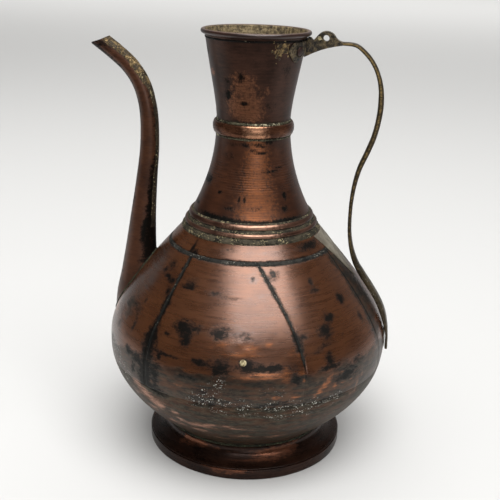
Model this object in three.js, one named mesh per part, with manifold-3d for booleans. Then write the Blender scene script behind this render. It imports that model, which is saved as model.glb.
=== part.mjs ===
// Copper ewer: a round belly on a foot ring, a tall neck with a rolled mouth, an S-shaped
// spout and a strap handle that ends in an empty lid hinge.
// Millimetres, +Z up, handle towards +X, spout towards -X, origin under the middle on the floor.
import * as THREE from 'three';
import { mergeVertices } from 'three/addons/utils/BufferGeometryUtils.js';
import Module from 'manifold-3d';

const wasm = await Module();
wasm.setup();

// Driving dimensions
const SHEET = 1.2; // raised copper sheet
const GAP = 0.3; // room between pieces that touch
const BODY_SIDES = 40;
const NECK_SIDES = 32;

const BOWL_FOOT = [71.5, 24.5]; // radius and height where the bowl stands on the foot
const BELLY = [119.7, 97]; // widest place
const SHOULDER = [61, 194]; // belly curve passes into the neck curve
const NECK_TOP = [30.6, 283]; // narrowest place, under the collar
const MOUTH = [40.6, 354]; // wall under the rolled edge

const BOWL_SEAM = 85; // height of the level seam between bowl and gores
const RING_SEAM = 185.3; // height of the level seam between gores and shoulder cap
const NECK_SEAM = 212.3; // height of the joint between shoulder cap and lower neck
const BEADS = [204.1, 210.5]; // heights of the two shoulder beads

const FOOT_RADIUS = 85.4;
const FOOT_BAND_HEIGHT = 8.6;
const FOOT_BAND_WALL = 2.2;
const FOOT_EDGE = 6.2; // breadth of the turned-in edge that it stands on
const FLOOR_HEIGHT = 16; // underside of the bowl

const RIM_HEIGHT = 360;
const ROLL_RADIUS = 1.9;
const ROLL_SHEET = 0.9;
const RIM_WIRE_RADIUS = 0.65;
const ROLL_CENTRE = [42.4, RIM_HEIGHT - ROLL_RADIUS];

const LUG_THICKNESS = 7.5;
const PIN_HOLE = { out: 55.8, up: 355.2, radius: 2.5 };
const PIN_STUB = { out: 50.5, up: 355, radius: 1.5 };
const ARM_END = 69.2; // distance from the axis where the strap is brazed to the arm

const SADDLE_REACH = 42; // degrees to each side of the handle
const SADDLE_SHEET = 1.7;
const SADDLE_RIVET = { angle: 26, up: 346.2 };
const RIVET = { shank: 1.4, head: 3.9, dome: 1.3 };
const PLUG = { angle: -83.3, up: 122, shank: 1.7, head: 2.7, dome: 0.8 };

// Half the breadth of the gore over the handle, and the seams beyond it, in degrees from the handle
const HANDLE_SEAM = 14.5;
const SPOUT_SEAM = 124.7;
const slantedSeam = (z) => 59 + 16.7 * Math.pow(Math.max(0, (z - 100) / 84), 2.5);

const COPPER = { color: 0x8a4a32, roughness: 0.42, metalness: 0.85 };
const DARK_COPPER = { color: 0x4a2a20, roughness: 0.5, metalness: 0.8 };
const BEAD_COPPER = { color: 0xa8694f, roughness: 0.35, metalness: 0.9 };
const BRASS = { color: 0x8d7442, roughness: 0.45, metalness: 0.8 };
const DARK_BRASS = { color: 0x57492e, roughness: 0.6, metalness: 0.7 };
const TIN = { color: 0x9a9080, roughness: 0.55, metalness: 0.7 };
const IRON = { color: 0x4d4640, roughness: 0.6, metalness: 0.7 };

const radians = THREE.MathUtils.degToRad;

// Distance from the jug's axis, degrees from the handle, height
function polar(radius, angle, z) {
  return new THREE.Vector3(radius * Math.cos(radians(angle)), radius * Math.sin(radians(angle)), z);
}

// Walls of revolution: outer curves, as radius and height

function bezier(a, b, c, d) {
  return new THREE.CubicBezierCurve(...[a, b, c, d].map(([r, z]) => new THREE.Vector2(r, z)));
}

function wallFrom(...curves) {
  const samples = curves.flatMap((curve) => curve.getPoints(60));
  function radiusAt(z) {
    const above = samples.findIndex((p) => p.y > z);
    if (above <= 0) return above === 0 ? samples[0].x : samples[samples.length - 1].x;
    const [low, high] = [samples[above - 1], samples[above]];
    return THREE.MathUtils.mapLinear(z, low.y, high.y, low.x, high.x);
  }
  // Point beside the wall, moved outwards across it
  return (z, outwards = 0) => {
    const slope = radiusAt(z + 0.5) - radiusAt(z - 0.5);
    const normal = new THREE.Vector2(1, -slope).normalize();
    return new THREE.Vector2(radiusAt(z), z).addScaledVector(normal, outwards);
  };
}

const bodyWall = wallFrom(
  bezier(BOWL_FOOT, [74.5, 30], [BELLY[0], 57], BELLY),
  bezier(BELLY, [BELLY[0], 113], [121, 126], SHOULDER),
  bezier(SHOULDER, [55.7, 200], [NECK_TOP[0], 238], NECK_TOP),
);
const mouthWall = wallFrom(bezier([30.2, NECK_TOP[1]], [30.2, 300], [33.2, 310], MOUTH));

function steps(from, to, count) {
  return Array.from({ length: count + 1 }, (_, i) => from + ((to - from) * i) / count);
}

// Ring or bowl turned from a profile that runs up its outside and down its inside
function turned(profile, sides) {
  const points = profile.map((p) => (Array.isArray(p) ? new THREE.Vector2(...p) : p));
  if (points[0].x > 0) points.push(points[0].clone());
  return new THREE.LatheGeometry(points, sides).rotateX(Math.PI / 2);
}

function turnedSheet(wall, heights, sides) {
  const outside = heights.map((z) => wall(z));
  const inside = heights.map((z) => wall(z, -SHEET)).reverse();
  // The ends stay level, so that they meet their neighbours face to face
  inside[0].y = outside[outside.length - 1].y;
  inside[inside.length - 1].y = outside[0].y;
  return turned([...outside, ...inside], sides);
}

// Solids between two skins of points

function meshFromTriangles(points, triangles) {
  const geometry = new THREE.BufferGeometry().setFromPoints(points);
  geometry.setIndex(triangles);
  return geometry;
}

// Curved plate: at(u, v, depth) gives its points, u and v from 0 to 1, depth 0 outside and 1 inside
function plate(at, columns, rows) {
  const points = [];
  const triangles = [];
  for (const depth of [0, 1]) {
    for (const v of steps(0, 1, rows)) {
      for (const u of steps(0, 1, columns)) points.push(at(u, v, depth));
    }
  }
  const id = (i, j, depth) => (depth * (rows + 1) + j) * (columns + 1) + i;
  const quad = (a, b, c, d) => triangles.push(a, b, c, a, c, d);
  for (let j = 0; j < rows; j += 1) {
    for (let i = 0; i < columns; i += 1) {
      quad(id(i, j, 0), id(i + 1, j, 0), id(i + 1, j + 1, 0), id(i, j + 1, 0));
      quad(id(i, j, 1), id(i, j + 1, 1), id(i + 1, j + 1, 1), id(i + 1, j, 1));
    }
    quad(id(0, j, 0), id(0, j + 1, 0), id(0, j + 1, 1), id(0, j, 1));
    quad(id(columns, j, 0), id(columns, j, 1), id(columns, j + 1, 1), id(columns, j + 1, 0));
  }
  for (let i = 0; i < columns; i += 1) {
    quad(id(i, 0, 0), id(i, 0, 1), id(i + 1, 0, 1), id(i + 1, 0, 0));
    quad(id(i, rows, 0), id(i + 1, rows, 0), id(i + 1, rows, 1), id(i, rows, 1));
  }
  return meshFromTriangles(points, triangles);
}

// Plate that lies on a wall: half its breadth in degrees, and its lower and upper edge, may vary
function plateOnWall(wall, { from, to, low, high, inner, thickness, columns, rows }) {
  return plate((u, v, depth) => {
    const side = (angleAt) => (typeof angleAt === 'function' ? angleAt : () => angleAt);
    const middle = THREE.MathUtils.lerp(side(from)(0), side(to)(0), u);
    const z = THREE.MathUtils.lerp(side(low)(middle), side(high)(middle), v);
    const angle = THREE.MathUtils.lerp(side(from)(z), side(to)(z), u);
    const p = wall(z, depth === 0 ? inner + thickness : inner);
    return polar(p.x, angle, p.y);
  }, columns, rows);
}

// Tube or bar through rings of points that all have the same count, closed by a fan at each end
function loft(rings) {
  const count = rings[0].length;
  const points = rings.flat();
  const triangles = [];
  for (let j = 0; j + 1 < rings.length; j += 1) {
    for (let i = 0; i < count; i += 1) {
      const next = (i + 1) % count;
      const [a, b] = [j * count + i, j * count + next];
      triangles.push(a, b, b + count, a, b + count, a + count);
    }
  }
  const last = (rings.length - 1) * count;
  for (let i = 1; i + 1 < count; i += 1) {
    triangles.push(0, i + 1, i);
    triangles.push(last, last + i, last + i + 1);
  }
  return meshFromTriangles(points, triangles);
}

// Joining and cutting

function toSolid(geometry) {
  const bare = geometry.clone();
  bare.deleteAttribute('normal');
  bare.deleteAttribute('uv');
  const merged = mergeVertices(bare);
  const corners = merged.index.array;
  const kept = [];
  for (let i = 0; i < corners.length; i += 3) {
    const [a, b, c] = corners.slice(i, i + 3);
    if (a !== b && b !== c && c !== a) kept.push(a, b, c);
  }
  return new wasm.Manifold(new wasm.Mesh({
    numProp: 3,
    vertProperties: merged.attributes.position.array,
    triVerts: Uint32Array.from(kept),
  }));
}

// Take the tools away from a piece, and drop any sliver that this cuts loose
function cut(geometry, ...tools) {
  const whole = tools.reduce((rest, tool) => rest.subtract(toSolid(tool)), toSolid(geometry));
  const [solid] = whole.decompose().sort((a, b) => b.volume() - a.volume());
  const { vertProperties, triVerts } = solid.getMesh();
  const result = new THREE.BufferGeometry();
  result.setAttribute('position', new THREE.BufferAttribute(vertProperties, 3));
  result.setIndex(new THREE.BufferAttribute(triVerts, 1));
  return result;
}

const jug = new THREE.Group();

function add(name, geometry, finish) {
  const mesh = new THREE.Mesh(geometry, new THREE.MeshStandardMaterial(finish));
  mesh.name = name;
  jug.add(mesh);
  return mesh;
}

// Place across a wall: where it is and which way its outside looks
function acrossWall(wall, angle, z) {
  const [on, off] = [wall(z), wall(z, 1)];
  const position = polar(on.x, angle, on.y);
  const outwards = polar(off.x, angle, off.y).sub(position);
  const turn = new THREE.Quaternion().setFromUnitVectors(new THREE.Vector3(0, 1, 0), outwards);
  return new THREE.Matrix4().compose(position, turn, new THREE.Vector3(1, 1, 1));
}

function hole(radius, place) {
  return new THREE.CylinderGeometry(radius, radius, 16, 12).applyMatrix4(place);
}

// Foot

function addFoot() {
  const inner = FOOT_RADIUS - FOOT_EDGE;
  const wallInside = FOOT_RADIUS - FOOT_BAND_WALL;
  add('foot_band', turned([
    [inner, 0],
    [FOOT_RADIUS, 0],
    [FOOT_RADIUS, FOOT_BAND_HEIGHT],
    [wallInside, FOOT_BAND_HEIGHT],
    [wallInside, 1.6],
    [inner, 1.6],
  ], BODY_SIDES), DARK_COPPER);

  const underFlange = FOOT_BAND_HEIGHT + GAP;
  add('foot_ring', turned([
    [78.6, underFlange],
    [FOOT_RADIUS - 1, underFlange],
    [FOOT_RADIUS - 1, underFlange + 1],
    [78.5, underFlange + 2],
    [74.8, 13.2],
    [71.2, 17],
    [70.3, 20.8],
    [71.2, 23.8],
    [69.9, 22.6],
    [69, 20.4],
    [70, 16.4],
    [74, 12],
  ], BODY_SIDES), DARK_COPPER);
}

// Belly

function addBowl() {
  const heights = [31, 38, 47, 58, 71, BOWL_SEAM - GAP / 2];
  const inside = [...heights].reverse().map((z) => bodyWall(z, -SHEET));
  inside[0].y = BOWL_SEAM - GAP / 2;
  add('base_bowl', turned([
    [0, FLOOR_HEIGHT],
    [54, FLOOR_HEIGHT + 0.5],
    [68.3, 21.6],
    BOWL_FOOT,
    ...heights.map((z) => bodyWall(z)),
    ...inside,
    [67.6, 22.9],
    [53.6, FLOOR_HEIGHT + SHEET + 0.5],
    [0, FLOOR_HEIGHT + SHEET],
  ], BODY_SIDES), COPPER);
}

function gore(from, to, columns) {
  const halfGap = (z) => THREE.MathUtils.radToDeg(GAP / 2 / bodyWall(z).x);
  return plateOnWall(bodyWall, {
    from: (z) => from(z) + halfGap(z),
    to: (z) => to(z) - halfGap(z),
    low: BOWL_SEAM + GAP / 2,
    high: RING_SEAM - GAP / 2,
    inner: -SHEET,
    thickness: SHEET,
    columns,
    rows: 9,
  });
}

function addGores() {
  const plugPlace = acrossWall(bodyWall, PLUG.angle, PLUG.up);
  add('gore_handle', gore(() => -HANDLE_SEAM, () => HANDLE_SEAM, 4), COPPER);
  const rightOfMiddle = gore((z) => -slantedSeam(z), () => -HANDLE_SEAM, 7);
  add('gore_front_handle_side', rightOfMiddle, COPPER);
  add('gore_back_handle_side', gore(() => HANDLE_SEAM, slantedSeam, 7), COPPER);
  const front = gore(() => -SPOUT_SEAM, (z) => -slantedSeam(z), 8);
  add('gore_front', cut(front, hole(PLUG.shank + GAP, plugPlace)), COPPER);
  add('gore_back', gore(slantedSeam, () => SPOUT_SEAM, 8), COPPER);
  const spoutSide = gore(() => SPOUT_SEAM, () => 360 - SPOUT_SEAM, 14);
  add('gore_spout', cut(spoutSide, spoutInlet()), COPPER);
}

// Level seams and neck

function addShoulderAndNeck() {
  add('shoulder_cap', turnedSheet(
    bodyWall,
    [RING_SEAM + GAP / 2, 191, 197.5, 204.5, NECK_SEAM - GAP / 2],
    BODY_SIDES,
  ), COPPER);
  add('lower_neck', turnedSheet(
    bodyWall,
    [NECK_SEAM + GAP / 2, 224, 237, 252, 267, NECK_TOP[1] - GAP / 2],
    NECK_SIDES,
  ), COPPER);
  const names = ['shoulder_bead_lower', 'shoulder_bead_upper'];
  BEADS.forEach((z, i) => add(names[i], turned([
    bodyWall(z - 1.3, GAP),
    bodyWall(z - 1.2, 1),
    bodyWall(z - 0.5, 1.6),
    bodyWall(z + 0.5, 1.6),
    bodyWall(z + 1.2, 1),
    bodyWall(z + 1.3, GAP),
  ], BODY_SIDES), BEAD_COPPER));
  add('neck_collar', turned([
    [31.1, 277.4],
    [32.2, 277.6],
    [33.1, 279.6],
    [33.4, 282.5],
    [33.1, 285.4],
    [32.2, 287.4],
    [31.1, 287.6],
  ], NECK_SIDES), BEAD_COPPER);
}

// Mouth funnel: its edge turns outwards round the wire and stops short of the wall

function addMouth() {
  const [centreRadius, centreHeight] = ROLL_CENTRE;
  const bottom = NECK_TOP[1] + GAP / 2;
  const heights = [bottom, 302, 320, 338, MOUTH[1]];
  const roll = (radius) => steps(180, -75, 5).map((angle) => [
    centreRadius + radius * Math.cos(radians(angle)),
    centreHeight + radius * Math.sin(radians(angle)),
  ]);
  const inside = [...heights].reverse().map((z) => mouthWall(z, -SHEET));
  inside[inside.length - 1].y = bottom;
  const rivetHoles = [-1, 1].map((side) => hole(
    RIVET.shank + GAP,
    acrossWall(mouthWall, side * SADDLE_RIVET.angle, SADDLE_RIVET.up),
  ));
  const funnel = turned([
    ...heights.map((z) => mouthWall(z)),
    [centreRadius - ROLL_RADIUS + ROLL_SHEET, 356.2],
    ...roll(ROLL_RADIUS - ROLL_SHEET),
    ...roll(ROLL_RADIUS).reverse(),
    ...inside,
  ], NECK_SIDES);
  add('mouth_funnel', cut(funnel, ...rivetHoles), COPPER);
  const wire = new THREE.TorusGeometry(centreRadius, RIM_WIRE_RADIUS, 5, NECK_SIDES);
  add('rim_wire', wire, IRON).position.z = centreHeight;
}

// Spout: distance from the axis, height and radius of the tube along its middle line

const SPOUT = [
  [96, 88, 21.8],
  [98.2, 112, 21],
  [98.8, 128, 19.2],
  [98, 145, 16.3],
  [96.3, 172, 13.1],
  [94, 200, 10.8],
  [91, 230, 9],
  [88.1, 262, 8],
  [89.4, 293.1, 7.5],
  [95.5, 312.9, 7.1],
  [104.4, 326, 7],
  [116, 336.2, 6.9],
  [130, 346.4, 6.7],
  [144, 356, 6.6],
];
const SPOUT_LIP = { low: [136.7, 342.9], high: [122.1, 349] };
const SPOUT_SIDES = 16;
// The radius rides along as the curve's second value, so that it changes as smoothly as the path
const spoutCurve = new THREE.CatmullRomCurve3(
  SPOUT.map(([out, up, radius]) => new THREE.Vector3(-out, radius, up)),
);

function spoutFrame(t) {
  const here = spoutCurve.getPoint(t);
  const along = spoutCurve.getTangent(t).setY(0).normalize();
  return {
    centre: new THREE.Vector3(here.x, 0, here.z),
    radius: here.y,
    towardsNeck: new THREE.Vector3(along.z, 0, -along.x),
  };
}

function onSpout(t, angle, outwards) {
  const { centre, radius, towardsNeck } = spoutFrame(t);
  const reach = radius + outwards;
  return centre.addScaledVector(towardsNeck, reach * Math.cos(angle))
    .add(new THREE.Vector3(0, reach * Math.sin(angle), 0));
}

function spoutCore(outwards, rings) {
  const round = Array.from({ length: SPOUT_SIDES }, (_, i) => (2 * Math.PI * i) / SPOUT_SIDES);
  return loft(steps(0, 1, rings).map((t) => round.map((angle) => onSpout(t, angle, outwards))));
}

// Hole in the belly under the foot of the spout
function spoutInlet() {
  return hole(11, acrossWall(bodyWall, 180, 154));
}

// Everything beyond the slanted lip
function beyondLip() {
  const { low, high } = SPOUT_LIP;
  const slope = Math.atan2(high[1] - low[1], low[0] - high[0]);
  const block = new THREE.BoxGeometry(60, 40, 40).translate(0, 0, 20).rotateY(-slope);
  return block.translate(-(low[0] + high[0]) / 2, 0, (low[1] + high[1]) / 2);
}

function bellyBlock(outwards) {
  const heights = [60, ...steps(100, 195, 19)];
  const bottom = new THREE.Vector2(0, 60);
  const top = new THREE.Vector2(0, 195);
  return turned([bottom, ...heights.map((z) => bodyWall(z, outwards)), top], 96);
}

function addSpout() {
  const tube = cut(spoutCore(0, 26), spoutCore(-SHEET, 26), beyondLip(), bellyBlock(GAP));
  add('spout_tube', tube, DARK_COPPER);
  const halfBreadth = (t) => radians(t > 0.72 ? 48 : 12 + 36 * Math.max(0, (t - 0.6) / 0.12));
  const strip = plate((u, v, depth) => {
    const t = THREE.MathUtils.lerp(0.36, 0.98, v);
    const angle = THREE.MathUtils.lerp(-1, 1, u) * halfBreadth(t);
    return onSpout(t, angle, depth === 0 ? GAP + 0.5 : GAP);
  }, 4, 20);
  add('spout_seam', cut(strip, beyondLip()), BRASS);
}

// Handle: distance from the axis, height, breadth and thickness along the strap's middle line

const HANDLE = [
  [ARM_END + GAP, 351.3, 5.4, 2.7],
  [79.7, 350, 5.2, 2.9],
  [87.8, 344, 5.2, 3.2],
  [94, 336.5, 5.2, 3.2],
  [98.3, 327.8, 5.4, 3.3],
  [101, 317.9, 5.6, 3.8],
  [101.9, 305, 5.8, 4.3],
  [101, 292.5, 6, 4.2],
  [98.4, 279, 6.2, 4.2],
  [93.8, 265.6, 6.4, 4.2],
  [88.6, 252.2, 6.6, 3.9],
  [85.3, 238.1, 6.8, 3.5],
  [83.7, 224, 7, 3.1],
  [83.3, 210, 7.2, 2.9],
  [83.9, 196, 7.6, 3],
  [86.2, 182.9, 8.2, 3.5],
  [90.8, 170, 9.2, 4.4],
  [97.1, 159.8, 10.6, 4.8],
  [104.3, 149.6, 12, 4.6],
  [111, 139.1, 13, 4.5],
  [116.2, 128.4, 13.4, 4.5],
  [119.6, 117.5, 13.4, 3.5],
  [121.6, 107, 13.2, 2.2],
  [122, 95, 12.4, 2.3],
];
const HANDLE_SOLDER = { low: 96.5, high: 112, halfBreadth: 5 };

function addHandle() {
  const path = new THREE.CatmullRomCurve3(HANDLE.map(([out, up]) => new THREE.Vector3(out, 0, up)));
  const rings = HANDLE.map(([, , breadth, thickness], i) => {
    const t = i / (HANDLE.length - 1);
    const along = path.getTangent(t);
    const outwards = new THREE.Vector3(-along.z, 0, along.x);
    const [b, h, bevel] = [breadth / 2, thickness / 2, thickness / 4];
    const section = [
      [-b + bevel, h], [-b, h - bevel], [-b, -h + bevel], [-b + bevel, -h],
      [b - bevel, -h], [b, -h + bevel], [b, h - bevel], [b - bevel, h],
    ];
    return section.map(([y, n]) => path.getPoint(t).addScaledVector(outwards, n).setY(y));
  });
  add('handle_strap', loft(rings), BRASS);

  const { low, high, halfBreadth } = HANDLE_SOLDER;
  const reach = THREE.MathUtils.radToDeg(halfBreadth / BELLY[0]);
  add('handle_solder', plateOnWall(bodyWall, {
    from: -reach, to: reach, low, high, inner: GAP, thickness: 0.5, columns: 2, rows: 2,
  }), TIN);
}

// Tinned patch on the shoulder under the handle, drawn in to a point

function addShoulderPatch() {
  const [tip, top] = [158.5, 196.8];
  const reach = (z) => THREE.MathUtils.radToDeg((0.9 + 0.5 * (z - tip)) / bodyWall(z).x);
  add('shoulder_patch', plateOnWall(bodyWall, {
    from: (z) => -reach(Math.max(z, tip)),
    to: (z) => reach(Math.max(z, tip)),
    low: tip,
    high: top,
    inner: GAP,
    thickness: 0.7,
    columns: 6,
    rows: 6,
  }), TIN);
}

// Hinge arm: seen from the side, it rises from the neck to the arched lug and runs into the strap

function addHingeArm() {
  const arch = { out: 55.9, up: 352.1, radius: 8.4 };
  const outline = new THREE.Shape();
  outline.moveTo(38.5, 339.6);
  outline.quadraticCurveTo(54, 348.2, ARM_END, 350);
  outline.lineTo(ARM_END, 352.7);
  outline.quadraticCurveTo(66, 352.9, 63.5, 355.8);
  outline.absarc(arch.out, arch.up, arch.radius, radians(26), radians(140), false);
  outline.lineTo(47.3, 355.1);
  outline.lineTo(45.8, 353);
  outline.lineTo(43.6, 355.4);
  outline.lineTo(38.5, 355.4);
  const arm = new THREE.ExtrudeGeometry(outline, {
    depth: LUG_THICKNESS, bevelEnabled: false, curveSegments: 8,
  }).rotateX(Math.PI / 2).translate(0, LUG_THICKNESS / 2, 0);
  const bore = ({ out, up }, radius) => new THREE.CylinderGeometry(radius, radius, 16, 12)
    .translate(out, 0, up);
  const room = GAP + SADDLE_SHEET + GAP;
  const clearNeck = turned([
    [0, 330],
    ...steps(330, MOUTH[1], 5).map((z) => mouthWall(z, room)),
    [mouthWall(MOUTH[1], room).x, RIM_HEIGHT],
    [0, RIM_HEIGHT],
  ], 96);
  add('hinge_arm', cut(
    arm,
    bore(PIN_HOLE, PIN_HOLE.radius),
    bore(PIN_STUB, PIN_STUB.radius + GAP),
    clearNeck,
  ), DARK_BRASS);
  const stub = new THREE.CylinderGeometry(PIN_STUB.radius, PIN_STUB.radius, LUG_THICKNESS + 0.6, 12);
  add('hinge_pin_stub', stub, BRASS).position.set(PIN_STUB.out, 0, PIN_STUB.up);
}

// Saddle: a lobe hangs round each rivet, and the corners are rounded off

function addSaddle() {
  const corner = (angle) => Math.max(0, (Math.abs(angle) - 33) / (SADDLE_REACH - 33)) ** 2;
  const lobe = (angle) => Math.exp(-(((Math.abs(angle) - 27) / 7) ** 2));
  const saddle = plateOnWall(mouthWall, {
    from: -SADDLE_REACH,
    to: SADDLE_REACH,
    low: (angle) => 340.8 - 3.8 * lobe(angle) + 5 * corner(angle),
    high: (angle) => 353 - 5 * corner(angle),
    inner: GAP,
    thickness: SADDLE_SHEET,
    columns: 16,
    rows: 3,
  });
  const names = ['saddle_rivet_front', 'saddle_rivet_back'];
  const places = [-1, 1].map((side) => acrossWall(
    mouthWall,
    side * SADDLE_RIVET.angle,
    SADDLE_RIVET.up,
  ));
  add('neck_saddle', cut(saddle, ...places.map((place) => hole(RIVET.shank + GAP, place))), DARK_BRASS);
  places.forEach((place, i) => addRivet(names[i], RIVET, GAP + SADDLE_SHEET, place, COPPER));
}

// Rivet through a wall: domed head outside, flat head inside, both just clear of the flat facets
function addRivet(name, { shank, head, dome }, cover, place, finish) {
  const under = cover + GAP;
  const inside = -SHEET - 2 * GAP;
  const profile = [
    [0, inside - dome / 2],
    [head * 0.7, inside - dome / 2],
    [head * 0.8, inside],
    [shank, inside],
    [shank, under],
    [head, under],
    [head * 0.75, under + dome * 0.7],
    [head * 0.35, under + dome],
    [0, under + dome],
  ].map(([x, y]) => new THREE.Vector2(x, y));
  const mesh = add(name, new THREE.LatheGeometry(profile, 10), finish);
  mesh.applyMatrix4(place);
}

addFoot();
addBowl();
addGores();
addShoulderAndNeck();
addMouth();
addSpout();
addHandle();
addShoulderPatch();
addHingeArm();
addSaddle();
addRivet('repair_plug', PLUG, 0, acrossWall(bodyWall, PLUG.angle, PLUG.up), BRASS);

// The jug's axis moves along X so that spout and handle reach equally far from the origin
const extent = new THREE.Box3().setFromObject(jug, true);
jug.position.x = -(extent.min.x + extent.max.x) / 2;

const part = new THREE.Group();
part.add(jug);
export default part;
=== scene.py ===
"""Looks of a copper ewer: fine meshes with worn copper and brass, on a pale floor in soft light."""
import math

import bmesh
import bpy
import numpy as np
from mathutils import Matrix, Vector


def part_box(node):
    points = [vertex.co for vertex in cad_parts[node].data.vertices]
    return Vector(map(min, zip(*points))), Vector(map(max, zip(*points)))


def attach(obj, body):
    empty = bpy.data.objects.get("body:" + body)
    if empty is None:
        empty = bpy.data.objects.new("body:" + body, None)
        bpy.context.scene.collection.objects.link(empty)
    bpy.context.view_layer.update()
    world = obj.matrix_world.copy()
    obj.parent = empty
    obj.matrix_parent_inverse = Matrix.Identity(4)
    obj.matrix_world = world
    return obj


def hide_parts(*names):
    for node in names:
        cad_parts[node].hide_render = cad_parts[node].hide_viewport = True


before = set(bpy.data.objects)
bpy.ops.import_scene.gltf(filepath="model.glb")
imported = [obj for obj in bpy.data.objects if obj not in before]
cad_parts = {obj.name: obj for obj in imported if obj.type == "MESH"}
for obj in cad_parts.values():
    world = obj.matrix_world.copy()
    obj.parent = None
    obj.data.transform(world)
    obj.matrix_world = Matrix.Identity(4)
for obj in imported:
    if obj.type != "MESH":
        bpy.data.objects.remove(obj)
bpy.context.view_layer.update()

# Sizes in millimetres from the jug's own axis. Angles are degrees from the handle, and negative
# ones lie on the side that faces the camera.
MM = 0.001
COLLAR_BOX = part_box("neck_collar")
AXIS_X = (COLLAR_BOX[0].x + COLLAR_BOX[1].x) / 2

SHEET = 1.2
BOWL_CURVE = [(71.5, 24.5), (74.5, 30), (119.7, 57), (119.7, 97)]
BELLY_CURVE = [(119.7, 97), (119.7, 113), (121, 126), (61, 194)]
NECK_CURVE = [(61, 194), (55.7, 200), (30.6, 238), (30.6, 283)]
FUNNEL_CURVE = [(30.2, 283), (30.2, 300), (33.2, 310), (40.6, 354)]

BOWL_SEAM = 85
RING_SEAM = 185.4
NECK_SEAM = 212.3
NECK_TOP = 283
COLLAR_HEIGHT = 282.5
BEADS = [("shoulder_bead_lower", 203.4, 1.5), ("shoulder_bead_upper", 209.6, 1.9)]
SEAM_HALF = 0.85  # half the breadth of the solder that shows in a seam
RING_SEAM_HALF = 1.1
SEAM_GAP = 0.25  # between the bowl and the seam's middle
SLANT_GREY_FROM = 141.5
SEAM_HIDDEN_BELOW = 119
HANDLE_SEAM = 14.5
SPOUT_SEAM = 124.7

FOOT_RADIUS = 85.4
FOOT_BAND_HEIGHT = 8.6
RIM_HEIGHT = 360
ROLL_RADIUS = 1.9
ROLL_CENTRE = (42.4, RIM_HEIGHT - ROLL_RADIUS)

LUG_THICKNESS = 7.5
PIN_HOLE, PIN_HOLE_RADIUS = (55.8, 355.2), 2.5
PIN_STUB, PIN_STUB_RADIUS = (50.5, 355.0), 1.5
ARCH_CENTRE, ARCH_RADIUS = (55.9, 352.1), 8.4
ARM_END = 69.2

SADDLE_REACH = 42
SADDLE_RIVET = (26, 346.2)
PLUG = (-83.3, 122)

# Middle angles of the painted highlights on the neck front, and on the beads and collar in front and behind.
NECK_FRONT = -76
BEAD_FRONT, BEAD_BACK = -79, 120
SPOUT_SEAM_RUN = (0.36, 0.985)
SPOUT_GRIT_BELOW = 316

CRUMPLED = (-80, 129)
NECK_LEAN = 0.4
BELLY_MIDDLE = 120
EDGE_DROP = 0.35
UNDER_FILLER = -0.1
CHANNEL_FOOT = 197.2
LATHE_DEPTH = 0.12
LATHE_PITCH = 1.9
RIM_SOLDER_AND_SHADOW = (352.9, 354.6)
SPATTER = (-52, 347.5)

BODY_SIDES = 400
NECK_SIDES = 256
SHARP_ANGLE = 38


def slanted_seam(z):
    """Angle of the middle seam, which slants near the shoulder."""
    return 59 + 16.7 * np.maximum(0, (z - 100) / 84) ** 2.5


# Noise and small curves

def smooth_noise(points, grain, seed):
    """Smooth noise from -1 to 1 at points in mm, with grains of about that size."""
    place = points / grain
    cell = np.floor(place).astype(np.int64)
    part = place - cell
    part = part * part * (3 - 2 * part)
    total = np.zeros(points.shape[:-1])
    for corner in range(8):
        step = np.array([corner & 1, corner >> 1 & 1, corner >> 2 & 1])
        key = ((cell + step) * np.array([73856093, 19349663, 83492791])).sum(-1) + seed * 40503
        key = (key ^ key >> 13) * 1274126177 & 0xFFFFFFFF
        value = ((key ^ key >> 16) & 0xFFFF) / 32767.5 - 1
        total += value * np.where(step, part, 1 - part).prod(-1)
    return total


def ragged(points, grain, seed, octaves=3):
    """Noise with finer and finer grains on top of each other."""
    layers = [smooth_noise(points, grain / 2 ** i, seed + i) / 2 ** i for i in range(octaves)]
    return sum(layers) / (2 - 0.5 ** (octaves - 1))


def smooth_step(low, high, value):
    t = np.clip((value - low) / (high - low), 0, 1)
    return t * t * (3 - 2 * t)


def catmull_rom(stations, t):
    """Centripetal curve through the stations, t from 0 to 1 over all of them."""
    points = np.array(stations, float)
    points = np.vstack([2 * points[0] - points[1], points, 2 * points[-1] - points[-2]])
    spans = len(points) - 3
    place = np.clip(np.asarray(t, float), 0, 1) * spans
    i = np.minimum(place.astype(int), spans - 1)
    w = (place - i)[..., None]
    p0, p1, p2, p3 = (points[i + k] for k in range(4))
    d0, d1, d2 = (np.sqrt(np.linalg.norm(b - a, axis=-1))[..., None]
                  for a, b in ((p0, p1), (p1, p2), (p2, p3)))
    m1 = ((p1 - p0) / d0 - (p2 - p0) / (d0 + d1) + (p2 - p1) / d1) * d1
    m2 = ((p2 - p1) / d1 - (p3 - p1) / (d1 + d2) + (p3 - p2) / d2) * d1
    return (p1 + m1 * w + (3 * (p2 - p1) - 2 * m1 - m2) * w ** 2
            + (2 * (p1 - p2) + m1 + m2) * w ** 3)


def arc(centre, radius, start, end, count):
    a = np.radians(np.linspace(start, end, count))
    return np.stack([centre[0] + radius * np.cos(a), centre[1] + radius * np.sin(a)], -1)


def along(step, *points):
    """The straight runs between the points, cut into steps."""
    runs = []
    for a, b in zip(points, points[1:]):
        a, b = np.array(a, float), np.array(b, float)
        count = max(2, round(np.linalg.norm(b - a) / step) + 1)
        runs.append(a + (b - a) * np.linspace(0, 1, count)[:-1, None])
    return np.concatenate([*runs, [points[-1]]])


def bell(value, breadth):
    return np.exp(-(value / breadth) ** 2)


def unit(vectors):
    return vectors / np.linalg.norm(vectors, axis=-1, keepdims=True)


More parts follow.
